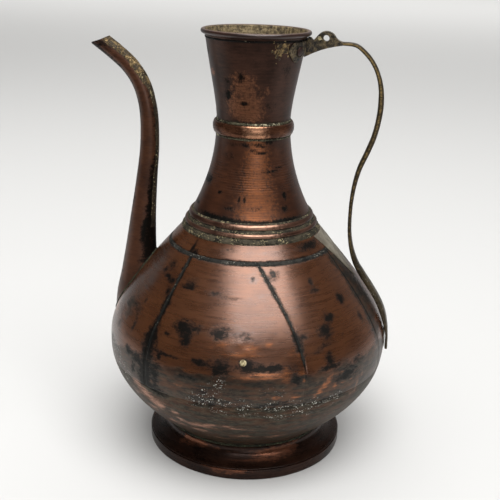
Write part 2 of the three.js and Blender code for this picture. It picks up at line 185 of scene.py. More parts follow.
class Wall:
    """Wall of revolution: radius at any height, and the points beside it."""

    def __init__(self, *curves):
        t = np.linspace(0, 1, 200)[:, None]
        parts = [(1 - t) ** 3 * a + 3 * (1 - t) ** 2 * t * b + 3 * (1 - t) * t ** 2 * c + t ** 3 * d
                 for a, b, c, d in np.array(curves, float)]
        self.r, self.z = np.concatenate(parts).T

    def radius(self, z):
        return np.interp(z, self.z, self.r)

    def at(self, z, out=0.0):
        """Radius and height that far off the wall."""
        slope = self.radius(z + 0.5) - self.radius(z - 0.5)
        length = np.hypot(1, slope)
        return self.radius(z) + out / length, z - out * slope / length

    def line(self, heights, out=0.0):
        return np.stack(self.at(heights, out), -1)

    def layer(self, heights, out, under, skip=1):
        """Closed profile of a layer between two distances off the wall."""
        return np.concatenate([self.line(heights, out), self.line(heights[::-skip], under)])


BODY = Wall(BOWL_CURVE, BELLY_CURVE, NECK_CURVE)
FUNNEL = Wall(FUNNEL_CURVE)


def polar(radius, angle, z):
    a = np.radians(angle)
    return np.stack(np.broadcast_arrays(radius * np.cos(a), radius * np.sin(a), z), -1)


def on_wall(wall, angle, z, out=0.0):
    r, up = wall.at(z, out)
    return polar(r, angle, up)


def dented(points):
    """Hand-made unevenness, the same for everything that follows the jug's wall."""
    radius = np.linalg.norm(points[..., :2], axis=-1)
    angle = np.degrees(np.arctan2(points[..., 1], points[..., 0]))
    crumpled = bell(points[..., 2] - CRUMPLED[1], 11) * bell(angle - CRUMPLED[0], 24)
    depth = 0.26 * smooth_noise(points, 38, 1) + 0.07 * smooth_noise(points, 13, 2)
    depth += 0.3 * crumpled * ragged(points, 5, 3)
    depth *= smooth_step(8, 60, radius) * 0.75 + 0.25
    moved = points.copy()
    moved[..., :2] *= (1 + depth / np.maximum(radius, 1))[..., None]
    moved[..., 0] -= NECK_LEAN * smooth_step(210, 290, points[..., 2])
    return moved


def crumbly(depth, grain, seed):
    """Warp for filler: the jug's dents and crumbs on top."""
    def warp(points):
        moved = dented(points)
        radius = np.linalg.norm(points[..., :2], axis=-1, keepdims=True)
        push = depth * ragged(points, grain, seed)[..., None]
        moved[..., :2] += points[..., :2] / np.maximum(radius, 1) * push
        moved[..., 2:] += 0.5 * depth * ragged(points, grain, seed + 7)[..., None]
        return moved
    return warp


# Meshes

def link_object(name, data):
    obj = bpy.data.objects.new(name, data)
    bpy.context.scene.collection.objects.link(obj)
    return obj


def make_object(name, points, faces):
    """Object of points in mm, welded, with its faces outwards and its sharp edges kept."""
    placed = np.asarray(points, float).reshape(-1, 3) * MM
    placed[:, 0] += AXIS_X
    mesh = bpy.data.meshes.new(name)
    mesh.from_pydata(placed.tolist(), [], [list(f) for f in faces])
    work = bmesh.new()
    work.from_mesh(mesh)
    bmesh.ops.remove_doubles(work, verts=work.verts, dist=1e-7)
    bmesh.ops.recalc_face_normals(work, faces=work.faces)
    work.to_mesh(mesh)
    work.free()
    mesh.shade_smooth()
    mesh.set_sharp_from_angle(angle=math.radians(SHARP_ANGLE))
    return link_object(name, mesh)


def grid_faces(rows, columns, wrap_rows, wrap_columns):
    j = np.arange(rows if wrap_rows else rows - 1)[:, None]
    i = np.arange(columns if wrap_columns else columns - 1)[None, :]
    j2, i2 = (j + 1) % rows, (i + 1) % columns
    corners = [j * columns + i, j * columns + i2, j2 * columns + i2, j2 * columns + i]
    return np.stack(np.broadcast_arrays(*corners), -1).reshape(-1, 4)


def all_round(count):
    return np.linspace(0, 360, count, endpoint=False)


def spun(profile, sides):
    """Points of a profile of radius and height, turned round the axis."""
    return polar(profile[:, 0], all_round(sides)[:, None], profile[:, 1])


def turned(name, profile, sides, closed=True, warp=dented):
    """Ring or bowl turned from a profile; an open one ends on the axis."""
    profile = np.asarray(profile, float)
    faces = grid_faces(sides, len(profile), True, closed)
    return make_object(name, warp(spun(profile, sides)), faces)


def shell(name, outside, inside, warp=dented):
    """Closed sheet between two equal grids of points."""
    rows, columns = outside.shape[:2]
    count = rows * columns
    ring = np.arange(count).reshape(rows, columns)
    border = np.concatenate([ring[0, :-1], ring[:-1, -1], ring[-1, :0:-1], ring[:0:-1, 0]])
    after = np.roll(border, -1)
    skin = grid_faces(rows, columns, False, False)
    sides = np.stack([border, border + count, after + count, after], -1)
    faces = np.concatenate([skin, skin[:, ::-1] + count, sides])
    points = np.concatenate([outside.reshape(-1, 3), inside.reshape(-1, 3)])
    return make_object(name, warp(points), faces)


def tube(name, rings, hollow=None):
    """Tube through rings of points: solid with closed ends, or hollow with inner rings."""
    rows, columns = rings.shape[:2]
    count = rows * columns
    faces = grid_faces(rows, columns, False, True).tolist()
    points = rings.reshape(-1, 3)
    first = list(range(columns))
    last = [i + count - columns for i in first]
    if hollow is None:
        faces += [first, last[::-1]]
    else:
        faces += [[c + count for c in face[::-1]] for face in faces]
        points = np.concatenate([points, hollow.reshape(-1, 3)])
        for ring in (first, last):
            faces += [[a, b, b + count, a + count] for a, b in zip(ring, ring[1:] + ring[:1])]
    return make_object(name, points, faces)


def spaced(length, step, edge=(0, 0.2, 0.5, 1.0, 1.8)):
    """Places from 0 to length, close together at both ends."""
    edge = np.array(edge, float)
    count = max(2, round((length - 2 * edge[-1]) / step) + 1)
    middle = np.linspace(edge[-1], length - edge[-1], count)
    return np.concatenate([edge[:-1], middle, length - edge[-2::-1]])


def varying(border):
    """A border as a function, also where it is one fixed number."""
    return border if callable(border) else lambda at: np.full(np.shape(at), float(border))


def wall_plate(name, wall, left, right, low, high, thickness, base=None, step=1.6, rounding=0.35,
               relief=lambda angle, z, edge: 0.0, warp=dented):
    """Sheet on a wall between two angles and two heights, each of which may vary.

    It is thickness mm thick, with its underside base mm off the wall. Its edges are rounded off,
    and relief(angle, z, edge) raises its outside, edge being the distance from the nearest edge.
    """
    base = -thickness if base is None else base
    left, right, low, high = map(varying, (left, right, low, high))
    middle_angle = (float(left(low(0.0))) + float(right(high(0.0)))) / 2
    z_low, z_high = float(low(middle_angle)), float(high(middle_angle))
    middle = (z_low + z_high) / 2
    turn = float(right(middle) - left(middle))
    breadth = math.radians(turn) * float(wall.radius(middle))
    u = spaced(breadth, step) / breadth
    v = (spaced(z_high - z_low, step) / (z_high - z_low))[:, None]
    rough_angle = left(middle) + turn * u[None, :]
    tall = high(rough_angle) - low(rough_angle)
    z = low(rough_angle) + tall * v
    start, end = left(z), right(z)
    angle = start + (end - start) * u
    across = np.radians(end - start) * wall.radius(z)
    edge = np.minimum(np.minimum(u, 1 - u) * across, np.minimum(v, 1 - v) * tall)
    out = base + thickness - rounding * bell(edge, 0.6) + relief(angle, z, edge)
    return shell(name, on_wall(wall, angle, z, out), on_wall(wall, angle, z, base), warp)


def read_points(mesh, kind="co"):
    values = np.zeros(len(mesh.vertices) * 3, np.float32)
    mesh.vertices.foreach_get(kind, values)
    return values.reshape(-1, 3)


def write_mask(obj, name, values):
    """A number on each point of the mesh, for the material to read."""
    layer = obj.data.attributes.new(name, "FLOAT", "POINT")
    layer.data.foreach_set("value", values.astype(np.float32).reshape(-1))


def paint(obj, masks):
    x, y, z = (read_points(obj.data) / MM).T
    x = x - AXIS_X / MM
    for name, values in masks(np.degrees(np.arctan2(y, x)), z, np.hypot(x, y)).items():
        write_mask(obj, name, values)
    return obj


def place(obj, material, slot, *nodes):
    """Gives a piece its material, and says what it rides on and stands for."""
    obj.data.materials.append(material)
    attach(obj, "root")
    if nodes:
        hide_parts(*nodes)
    return obj


def line_inside(obj, centre_height=None):
    """Tins the faces that look towards the axis, or towards a point on it."""
    obj.data.materials.append(INSIDE)
    for face in obj.data.polygons:
        x, y, z = face.center
        up = 0 if centre_height is None else z - centre_height * MM
        if face.normal.dot(Vector((x - AXIS_X, y, up))) < 0:
            face.material_index = 1


# Marks on the copper, mostly of age, with some painted shadows and highlights: angle, height, half breadth,
# half height, strength

STAINS_AND_PLUG_SHADOW = [
    (-124, 186.5, 3.5, 2.6, 1), (-127.5, 191, 1.2, 4, 1), (-2, 168, 9, 12, 0.6), (-4, 146, 10, 12, 0.6),
    (-142, 139, 8, 5, 0.6), (-139, 147, 1.6, 1.4, 0.8), (-138, 127, 2, 6, 0.7), (-150, 121, 6, 4, 0.5),
    (-139, 170, 3, 1.4, 1), (-134, 167.5, 4, 1.3, 1), (-129, 166, 4, 1.4, 1), (-135, 175, 6, 3, 0.6),
    (-127, 159, 3, 3, 0.9), (-136, 110, 5, 3, 0.9), (-129, 108, 6, 4, 0.9), (-126, 104, 8, 2.5, 0.9),
    (-132, 97, 3, 7, 0.8), (-119, 101, 4.5, 12, 0.9), (-119, 86, 8, 3.5, 0.9), (-114, 170, 7, 3, 0.45),
    (-116, 166, 6, 1.7, 0.95), (-100, 165, 7, 1.4, 0.8), (-92, 163, 10, 1.2, 0.6), (-111, 140, 7, 4.5, 1),
    (-108, 133, 5, 5, 0.95), (-104, 141, 5, 2.5, 0.8), (-93, 140, 8, 4.5, 0.95), (-82, 139, 5, 3.5, 0.6),
    (-117, 133, 3.5, 1.2, 0.9), (-117, 119, 6, 1.2, 0.95), (-111, 118.5, 5, 1.1, 0.8),
    (-118, 116, 2.4, 2, 0.9), (-100, 119, 7, 2.6, 0.95), (-92, 117, 7, 7, 1), (-105, 106, 10, 2, 0.8),
    # The last mark on the next line is a painted shadow under and beside the repair plug.
    (-81, 118, 8, 4, 0.95), (-72, 118, 13, 3.2, 1), (-63, 109.5, 4.5, 5.5, 1), (-82, 121.4, 4, 3.4, 1),
    (-61, 192, 8, 1, 0.3), (-32, 193, 12, 2.6, 0.95), (-45, 171, 2, 2.2, 0.95), (-44, 165, 5, 1.6, 0.8),
    (-30, 155, 3.6, 3.8, 1), (-42, 146, 5, 2.2, 0.95), (-22, 138, 2.5, 5, 0.7), (-47, 138, 6.5, 4.5, 1),
    (-58, 137, 5, 2.4, 0.8), (-44, 150, 3, 1, 0.5), (-48, 119, 4, 4, 1), (-48, 113, 13, 1.8, 0.8),
    (-56, 126, 12, 1.2, 0.7), (-48, 129, 9, 1.2, 0.7), (-40, 103, 14, 6, 0.95), (-33, 112, 6, 3, 0.7),
    (-67, 178, 4, 3.5, 0.85), (-96, 88, 16, 5, 0.6), (-72, 87, 24, 5.5, 0.6), (-48, 86, 16, 5, 0.5),
    (-98, 97, 9, 3, 0.6), (-80, 176, 1.6, 1.4, 0.7), (-97, 193, 7, 1.6, 0.5), (-46, 160, 2, 1, 0.5),
    (-38, 132, 3, 1.2, 0.5),
]
HAZE = [
    (-6, 160, 8, 30, 0.9), (-149, 137, 10, 12, 0.7), (-11, 168, 4, 7, 1), (-11, 157, 4.4, 7, 1),
    (-12, 146, 5, 7, 1), (-13, 134, 6, 8, 1), (-14, 120, 7, 8, 0.95), (-126, 100, 12, 12, 0.8),
    (-62, 186, 20, 1.4, 0.6),
]
BLOOM = [
    (-160, 132, 13, 26, 1), (-152, 106, 12, 16, 0.9), (-146, 158, 9, 12, 0.7), (-80, 176, 5, 4, 0.6),
    (-75, 164, 11, 4, 0.5), (-86, 141, 16, 6, 0.6), (-72, 192, 30, 2, 0.4), (-12, 104, 8, 16, 0.9),
    (-136, 90, 15, 14, 1), (-24, 92, 16, 16, 1), (-128, 168, 7, 4, 0.3), (-140, 66, 14, 12, 0.9),
    (-34, 74, 14, 12, 0.6),
]
RUBBED = [
    (-86, 132, 14, 5, 0.25), (-80, 131.5, 7, 2.6, 0.9), (-84, 127, 13, 1.2, 1), (-73, 134, 3, 1.5, 1),
    (-92, 133, 4, 1.4, 0.8), (-97, 130, 5, 1.2, 0.6), (-66, 129, 7, 1.6, 0.5), (-62, 126, 9, 0.9, 0.6),
    (-56, 131, 7, 7, 0.25), (-77, 113.8, 17, 1.1, 1), (-77, 110.9, 17, 1.1, 1), (-49, 103, 2.5, 3, 0.9),
    (-51, 99, 2.5, 3, 1), (-53, 95, 2.5, 3, 1), (-55, 91, 2.5, 2, 0.9), (-42, 97, 4, 1, 0.8),
    (-46, 96, 2, 3, 0.8), (-38, 96, 4, 1, 0.8), (-30, 97, 1.6, 6, 0.7), (-33, 88, 2, 6, 0.8),
    (-36, 79, 3, 4, 0.6), (-71, 94.5, 4, 1.2, 1), (-63, 93.5, 3.5, 1.1, 1), (-67, 116, 3, 3, 0.7),
    (-67, 109, 3, 4, 0.8), (-61, 113, 2.6, 3, 0.8), (-60, 106.5, 1.6, 1.6, 1), (-131, 84, 7, 4, 1),
    (-126, 78, 8, 4.4, 1), (-120, 71, 8, 4.4, 1), (-134, 72, 6, 5, 0.8), (-126, 62, 8, 4, 0.8),
    (-116, 53, 9, 3.4, 0.8), (-103, 50, 10, 2.6, 0.9), (-84, 48, 12, 2.4, 0.7), (-66, 46, 12, 2.4, 0.7),
    (-95, 41, 14, 2, 0.6), (-112, 68, 5, 2.4, 0.9), (-111, 61, 5, 2.2, 0.9), (-105, 58, 7, 2, 1),
    (-98, 60, 8, 2.6, 1), (-90, 63, 6, 1.4, 0.9), (-84, 60.5, 8, 1.2, 0.9), (-80, 59.5, 10, 1, 0.8),
    (-56, 56, 8, 1.8, 0.4), (-108, 98, 8, 2, 0.5), (-104, 112, 10, 1.2, 0.5), (-112, 124, 8, 0.8, 0.4),
    (-46, 106, 12, 1.4, 0.7),
]
SPECKS = [
    (-97, 96, 8, 6, 0.6), (-101, 88, 8, 5, 0.8), (-88, 85, 16, 6, 0.8), (-72, 84, 22, 6.5, 1),
    (-55, 85, 7, 4, 1), (-45, 84, 8, 6, 0.7), (-71, 100, 14, 5, 0.4), (-92, 104, 6, 8, 0.5),
    (-110, 60, 3, 2, 0.6), (-62, 76, 16, 4, 0.6),
]
NECK_STAINS = [
    (-122, 233, 1.6, 1.4, 1), (-96, 229, 0.9, 2.4, 1), (-90, 230, 0.9, 2.4, 1), (-41, 232, 2, 3, 1),
    (-45, 222, 3, 2.4, 0.9), (-69, 266, 5, 1.2, 0.8), (-77, 223, 7, 1.6, 0.5), (-105, 222, 5, 1.4, 0.7),
    (-103, 213.8, 15, 1.5, 1), (-46, 213.8, 14, 1.5, 1), (-75, 213.2, 16, 1.1, 1), (-94, 272, 3, 1.6, 0.7),
    (-150, 240, 6, 4, 0.8), (-60, 251, 6, 0.6, 0.9), (-52, 252, 5, 0.6, 0.9), (-44, 254, 4, 0.6, 0.8),
    (-90, 277, 4, 0.9, 0.8), (-74, 273, 4, 1.6, 0.8), (-60, 275, 3, 1.6, 0.7), (-82, 268, 3, 1.4, 0.7),
    (-68, 271, 3, 1, 0.7), (-118, 262, 7, 3, 0.4), (-112, 272, 5, 2.4, 0.4), (-128, 214.4, 14, 2, 0.9),
    (-52, 275, 6, 3, 0.4),
]
FUNNEL_STAINS = [
    (-101, 326, 2.4, 3.2, 1), (-122, 311, 3, 4, 1), (-96, 305, 3.2, 1.7, 1), (-40, 331, 4, 6, 0.5),
    (-60, 303, 8, 6, 0.35), (-120, 322, 3, 3, 0.6), (-76, 338, 16, 4, 0.25),
]
FUNNEL_RUBBED = [
    (-97, 318, 11, 9, 0.7), (-106, 304, 11, 7, 0.7), (-92, 296, 12, 6, 0.9), (-86, 306, 8, 6, 0.7),
    (-64, 316, 3, 3, 0.6), (-100, 326, 8, 4, 0.5),
]
FOOT_WEAR_AND_HIGHLIGHTS = [
    (-124, 18, 8, 3, 0.9), (-114, 19, 8, 2.4, 0.9), (-102, 18.5, 8, 1.6, 0.4), (-88, 17.5, 8, 1.2, 0.3),
    # The thin front lines at heights 12.6 and 8.4, along the edges of the foot ring and band, are painted
    # highlights; the other marks are wear.
    (-64, 16, 14, 4, 1), (-50, 16, 8, 3, 0.8), (-52, 17.5, 8, 1.6, 0.8), (-78, 12.6, 18, 0.5, 0.8),
    (-90, 8.4, 18, 0.45, 1), (-128, 14, 4, 2, 0.5), (-44, 21, 7, 2, 0.6),
]
SPOUT_STAINS = [(-165, 226, 5, 5, 1), (-168, 205, 4, 6, 0.8), (-160, 190, 5, 7, 0.8), (-163, 165, 7, 6, 0.7)]


def unseen_marks(count, low, high, size, seed):
    """Marks like the seen ones for the side that the camera doesn't show."""
    random = np.random.default_rng(seed)
    marks = []
    for _ in range(count):
        angle, up = random.uniform(5, 225), random.uniform(low, high)
        half = random.uniform(0.35, 1) * size
        marks.append((angle, up, half * random.uniform(0.8, 1.8), half * random.uniform(0.4, 0.9),
                      random.uniform(0.7, 1)))
    return marks


# Seen marks, and count, lowest, highest, size and seed of the unseen ones
for seen, *unseen in (
        (STAINS_AND_PLUG_SHADOW, 34, 96, 182, 8, 11), (HAZE, 9, 110, 180, 14, 12), (BLOOM, 8, 100, 180, 16, 18),
        (RUBBED, 14, 55, 135, 12, 13), (SPECKS, 10, 80, 100, 14, 14), (NECK_STAINS, 12, 214, 275, 5, 15),
        (FUNNEL_STAINS, 8, 290, 350, 5, 16), (FUNNEL_RUBBED, 7, 290, 335, 9, 17),
        (FOOT_WEAR_AND_HIGHLIGHTS, 8, 9, 20, 12, 19)):
    seen += unseen_marks(*unseen)


def turn_between(a, b):
    return (a - b + 180) % 360 - 180


def faded(squared):
    """Strength of a mark at a squared distance from its middle, in its own half sizes."""
    return np.exp(-0.7 * squared)


def spots(marks, angle, z, radius, push=1.6):
    """Strength of the marks at each place; each is pushed out of shape, and neighbours run together."""
    points = polar(radius, angle, z)
    shift = push * ragged(points, 9, 31)
    lift = 0.5 * push * ragged(points, 7, 36)
    clear = np.ones(len(z))
    for at, up, breadth, height, amount in marks:
        across = np.radians(turn_between(angle, at)) * radius + shift
        clear *= 1 - amount * faded((across / breadth) ** 2 + ((z + lift - up) / height) ** 2)
    return 1 - clear


def body_masks(angle, z, radius):
    """Stains with the plug's painted shadow, haze, bloom, wear and specks on bowl, gores and shoulder."""
    wobble = ragged(polar(radius, angle, z), 11, 34)

    def beside(seam_angle, half_breadth):
        across = np.radians(turn_between(angle, seam_angle)) * radius
        return faded((across / (half_breadth * (1 + 0.3 * wobble))) ** 2)

    spout_side = np.interp(z, [90, 101, 112, 120, 131, 137, 142, 149, 153, 160, 184],
                           [9, 8, 7, 7, 6, 3.4, 2, 3.4, 3.2, 1.9, 1.7])
    slanted = np.interp(z, [90, 105, 118, 123, 128, 138, 141, 144, 160, 184],
                        [0.1, 0.1, 0.8, 1.4, 3.2, 3.8, 1.4, 1.8, 2.2, 1.8])
    on_gores = smooth_step(82, 88, z) * (1 - smooth_step(184, 187, z))
    dark_part = on_gores * (1 - smooth_step(139, 143, z) * 0.4)
    grey_part = 0.9 * on_gores * smooth_step(141, 147, z)
    ring = 0.95 * faded(((z - RING_SEAM) / (1.5 + 0.4 * wobble)) ** 2)
    haze_edge = 107 + 5 * wobble + 5 * np.cos(np.radians(angle + 60))
    stains_and_shadow = [spots(STAINS_AND_PLUG_SHADOW, angle, z, radius), ring]
    hazes = [spots(HAZE, angle, z, radius), 1 - smooth_step(-5, 5, z - haze_edge)]
    for side in (-1, 1):
        stains_and_shadow.append(on_gores * beside(side * SPOUT_SEAM, spout_side))
        stains_and_shadow.append(dark_part * beside(side * slanted_seam(z), slanted))
        hazes.append(grey_part * beside(side * slanted_seam(z), 2.4))
        hazes.append(0.9 * on_gores * beside(side * HANDLE_SEAM, 5.5))
    rubbed = spots(RUBBED, angle, z, radius, push=0.9)
    return {
        "stain": np.maximum.reduce(stains_and_shadow) * (1 - 0.7 * rubbed),
        "haze": np.maximum.reduce(hazes),
        "bloom": spots(BLOOM, angle, z, radius),
        "rubbed": rubbed,
        "specks": spots(SPECKS, angle, z, radius, push=3),
    }


def lathe_lines(z):
    """Fine grooves round the neck, from 0 to 1."""
    zone = smooth_step(230, 238, z) * (1 - smooth_step(254, 266, z))
    return zone * (0.5 - 0.5 * np.cos(2 * math.pi * z / LATHE_PITCH)) ** 3


def neck_masks(angle, z, radius):
    around = ragged(polar(radius, angle, 3 * z), 22, 36)
    grooves = lathe_lines(z) * smooth_step(-0.5, 0.3, around)
    breadth = np.interp(z, [215, 280], [26, 18])
    return {
        "stain": np.maximum(spots(NECK_STAINS, angle, z, radius, push=0.8), 0.55 * grooves),
        "haze": 0.5 * bell(z - NECK_SEAM - 1, 2),
        # Bright bare copper down the front of the neck: worn metal and a painted highlight.
        "rubbed": 0.95 * bell(angle - NECK_FRONT, breadth) * smooth_step(282, 274, z),
    }


def funnel_masks(angle, z, radius):
    return {
        "stain": spots(FUNNEL_STAINS, angle, z, radius),
        "haze": 0.8 * bell(z - 289, 2),
        # The band along the top of the rim roll is a painted highlight.
        "rubbed": spots(FUNNEL_RUBBED, angle, z, radius) + 0.9 * smooth_step(359.2, 359.9, z),
    }


def bead_masks(angle, z, radius):
    """Beads and collar are painted bright in front and behind and left brown at the sides: bare metal and a
    painted highlight.
    """
    breadth = np.interp(radius, [34, 50], [19, 28])
    front = bell(turn_between(angle, BEAD_FRONT), breadth)
    return {"rubbed": 0.95 * front + 0.7 * bell(turn_between(angle, BEAD_BACK), 30)}


def foot_masks(angle, z, radius):
    return {"rubbed": spots(FOOT_WEAR_AND_HIGHLIGHTS, angle, z, radius, push=0.5)}


def spout_masks(angle, z, radius):
    """Dark along the side that looks to the neck, along the outer edge and at the lip."""
    out, tube_radius, up = np.array(SPOUT).T
    reach = -radius * np.cos(np.radians(angle))
    towards_neck = (np.interp(z, up, out) - reach) / np.interp(z, up, tube_radius)
    wobble = 0.35 * ragged(polar(radius, angle, z), 9, 35)
    grime = smooth_step(0.25, 0.85, towards_neck + wobble + 0.3 * smooth_step(240, 190, z))
    grime *= 1 - smooth_step(300, 318, z)
    edge = 0.75 * smooth_step(0.4, 1, -towards_neck + 0.5 * wobble)
    edge *= 0.55 + 0.45 * smooth_step(250, 300, z)
    lip = 0.6 * smooth_step(335, 344, z + 3 * wobble)
    marks = spots(SPOUT_STAINS, angle, z, radius)
    stain = np.maximum(grime, marks) * (0.9 - 0.5 * smooth_step(225, 262, z))
    return {
        "stain": np.maximum.reduce([stain, edge, lip]),
        "rubbed": 0.3 * smooth_step(300, 325, z),
    }


# Materials

class Nodes:
    """Short ways to add nodes to a tree."""

    def __init__(self, tree):
        self.tree = tree

    def node(self, kind, values=None, **settings):
        made = self.tree.nodes.new("ShaderNode" + kind)
        for key, value in settings.items():
            setattr(made, key, value)
        for key, value in (values or {}).items():
            self.give(made.inputs[key], value)
        return made

    def give(self, socket, value):
        if isinstance(value, bpy.types.NodeSocket):
            self.tree.links.new(value, socket)
        elif socket.type == "RGBA":
            socket.default_value = (*value, 1)
        else:
            socket.default_value = value


class Finish(Nodes):
    """A material and its noises, sums and masks."""

    def __init__(self, name):
        self.material = bpy.data.materials.new(name)
        self.material.use_nodes = True
        super().__init__(self.material.node_tree)
        self.shader = self.tree.nodes["Principled BSDF"]
        self.object = self.node("TexCoord").outputs["Object"]

    def set(self, **values):
        for key, value in values.items():
            self.give(self.shader.inputs[key.replace("_", " ")], value)

    def math(self, operation, a, b=0.0, c=0.0, clamp=False):
        made = self.node("Math", {0: a, 1: b, 2: c}, operation=operation, use_clamp=clamp)
        return made.outputs[0]

    def times(self, a, b):
        return self.math("MULTIPLY", a, b)

    def times_plus(self, a, b, c, clamp=False):
        return self.math("MULTIPLY_ADD", a, b, c, clamp)

    def between(self, factor, low, high):
        return self.times_plus(factor, high - low, low)

    def mix(self, factor, a, b):
        made = self.node("Mix", {"Factor": factor}, data_type="RGBA")
        self.give(made.inputs[6], a)
        self.give(made.inputs[7], b)
        return made.outputs[2]

    def step(self, value, low, high):
        made = self.node("MapRange", {"Value": value, "From Min": low, "From Max": high},
                         interpolation_type="SMOOTHSTEP")
        return made.outputs["Result"]

    def noise(self, grain, vector=None, detail=4, roughness=0.55):
        """Noise from 0 to 1 with grains of that many mm."""
        return self.node("TexNoise", {
            "Vector": self.object if vector is None else vector,
            "Scale": 1 / (grain * MM), "Detail": detail, "Roughness": roughness,
        }).outputs["Fac"]

    def stretched(self, around, outwards, up):
        """Coordinates round the jug's axis, stretched so that a grain gets these proportions."""
        centred = self.node("VectorMath", {0: self.object, 1: (-AXIS_X, 0, 0)}).outputs[0]
        x, y, z = self.node("SeparateXYZ", {0: centred}).outputs
        angle = self.math("ARCTAN2", x, self.times(y, -1))
        flat = self.node("VectorMath", {0: centred, 1: (1, 1, 0)}, operation="MULTIPLY").outputs[0]
        radius = self.node("VectorMath", {0: flat}, operation="LENGTH").outputs["Value"]
        return self.node("CombineXYZ", {
            0: self.times(angle, 0.1 / around), 1: self.times(radius, 1 / outwards), 2: self.times(z, 1 / up),
        }).outputs[0]

    def painted(self, name):
        return self.node("Attribute", attribute_name=name).outputs["Fac"]

    def mask(self, name, low, high, vector, raggedness):
        """A painted mask with ragged edges."""
        painted = self.painted(name)
        rough = self.math("SUBTRACT", self.noise(1, vector, detail=7, roughness=0.76), 0.5)
        rough = self.times(rough, raggedness * 2)
        return self.step(self.times_plus(rough, self.step(painted, 0.04, 0.35), painted), low, high)

    def bump(self, height, distance):
        self.set(Normal=self.node("Bump", {"Height": height, "Distance": distance * MM}).outputs[0])


BLOOM_TONE = (0.085, 0.064, 0.058)
# Also the colour of the painted shadow round the repair plug.
STAIN_AND_SHADOW_TONE = (0.0085, 0.009, 0.0078)
BLOT_TONE = (0.009, 0.0075, 0.006)
SPECK_TONE = (0.8, 0.8, 0.72)
HAZE_TONES = ((0.013, 0.0125, 0.0095), (0.075, 0.054, 0.034))
COPPER_BUMP = 0.1


def old_copper(name, dark, light, bare_and_highlight_tone, roughness=0.3, metallic=0.3, lines_depth=0.03,
               haze_tones=HAZE_TONES, ior=1.8):
    """Copper under a brown patina, rubbed bare in places, with grey haze, dark stains and specks. Where the
    masks ask for it, the bare tone is also a painted highlight and the stain tone a painted shadow.
    """
    f = Finish(name)
    lines = f.noise(1, f.stretched(45, 8, 0.5), detail=4, roughness=0.6)
    streaks = f.noise(1, f.stretched(24, 6, 2.2), detail=5, roughness=0.65)
    clouds = f.noise(26, detail=5, roughness=0.6)
    grain = f.noise(1.4, detail=4, roughness=0.7)
    tone = f.times_plus(clouds, 0.45, f.times(streaks, 0.35))
    tone = f.times_plus(lines, 0.2, tone)
    colour = f.mix(f.step(tone, 0.38, 0.62), dark, light)

    # Bare copper, and on some pieces a painted highlight in the bare tone.
    bare_and_highlight = f.mask("rubbed", 0.25, 1.0, f.stretched(7, 4, 2.6), 1.2)
    bare_and_highlight = f.times(bare_and_highlight, f.between(f.step(lines, 0.4, 0.6), 0.5, 1.0))
    colour = f.mix(bare_and_highlight, colour, bare_and_highlight_tone)

    bloom = f.mask("bloom", 0.2, 0.9, f.stretched(14, 6, 6), 0.8)
    bloom = f.times(bloom, f.between(f.step(streaks, 0.35, 0.65), 0.35, 0.85))
    colour = f.mix(bloom, colour, BLOOM_TONE)

    haze = f.mask("haze", 0.25, 0.8, f.stretched(12, 6, 5), 1.5)
    haze = f.times(haze, f.times_plus(bare_and_highlight, -0.85, 1))
    mottled = f.noise(1, f.stretched(6, 3, 2.4), detail=6, roughness=0.76)
    haze_tone = f.mix(f.step(mottled, 0.38, 0.7), *haze_tones)
    haze_share = f.step(f.noise(1, f.stretched(16, 8, 4), detail=5), 0.62, 0.42)
    colour = f.mix(f.times(haze, f.between(haze_share, 0.5, 0.95)), colour, haze_tone)

    stain = f.mask("stain", 0.16, 0.85, f.stretched(4, 3, 2.6), 1.3)
    colour = f.mix(f.times(stain, 0.95), colour, STAIN_AND_SHADOW_TONE)
    dots = f.step(f.noise(1.9, detail=3, roughness=0.6), 0.66, 0.73)
    blots = f.step(f.noise(1, f.stretched(8, 6, 3), detail=5, roughness=0.62), 0.65, 0.75)
    small = f.math("MAXIMUM", f.times(dots, 0.6), f.times(blots, 0.7))
    colour = f.mix(small, colour, BLOT_TONE)

    crumbs = f.step(f.noise(0.95, detail=1, roughness=0.4), 0.62, 0.68)
    patches = f.step(f.noise(1, f.stretched(7, 4, 2.5), detail=3), 0.47, 0.6)
    specks = f.times(f.times(crumbs, patches), f.step(f.painted("specks"), 0.15, 0.6))
    colour = f.mix(specks, colour, SPECK_TONE)

    dull = f.math("MAXIMUM", f.times(haze, 0.6), stain)
    shine = f.times_plus(bare_and_highlight, 0.8 - metallic, metallic)
    shine = f.times_plus(dull, f.math("SUBTRACT", 0.88, shine), shine)
    shine = f.times_plus(specks, f.times(shine, -0.8), shine)
    matt = f.times_plus(streaks, 0.16, roughness - 0.08)
    matt = f.times_plus(haze, 0.12, f.times_plus(stain, 0.16, matt), clamp=True)
    f.set(Base_Color=colour, Roughness=matt, Metallic=shine, IOR=ior)

    height = f.times_plus(lines, lines_depth / COPPER_BUMP, f.times(grain, 0.3))
    height = f.times_plus(f.times(haze, mottled), 1.2, height)
    height = f.times_plus(stain, -0.4, height)
    f.bump(f.math("ADD", height, specks), COPPER_BUMP)
    return f.material


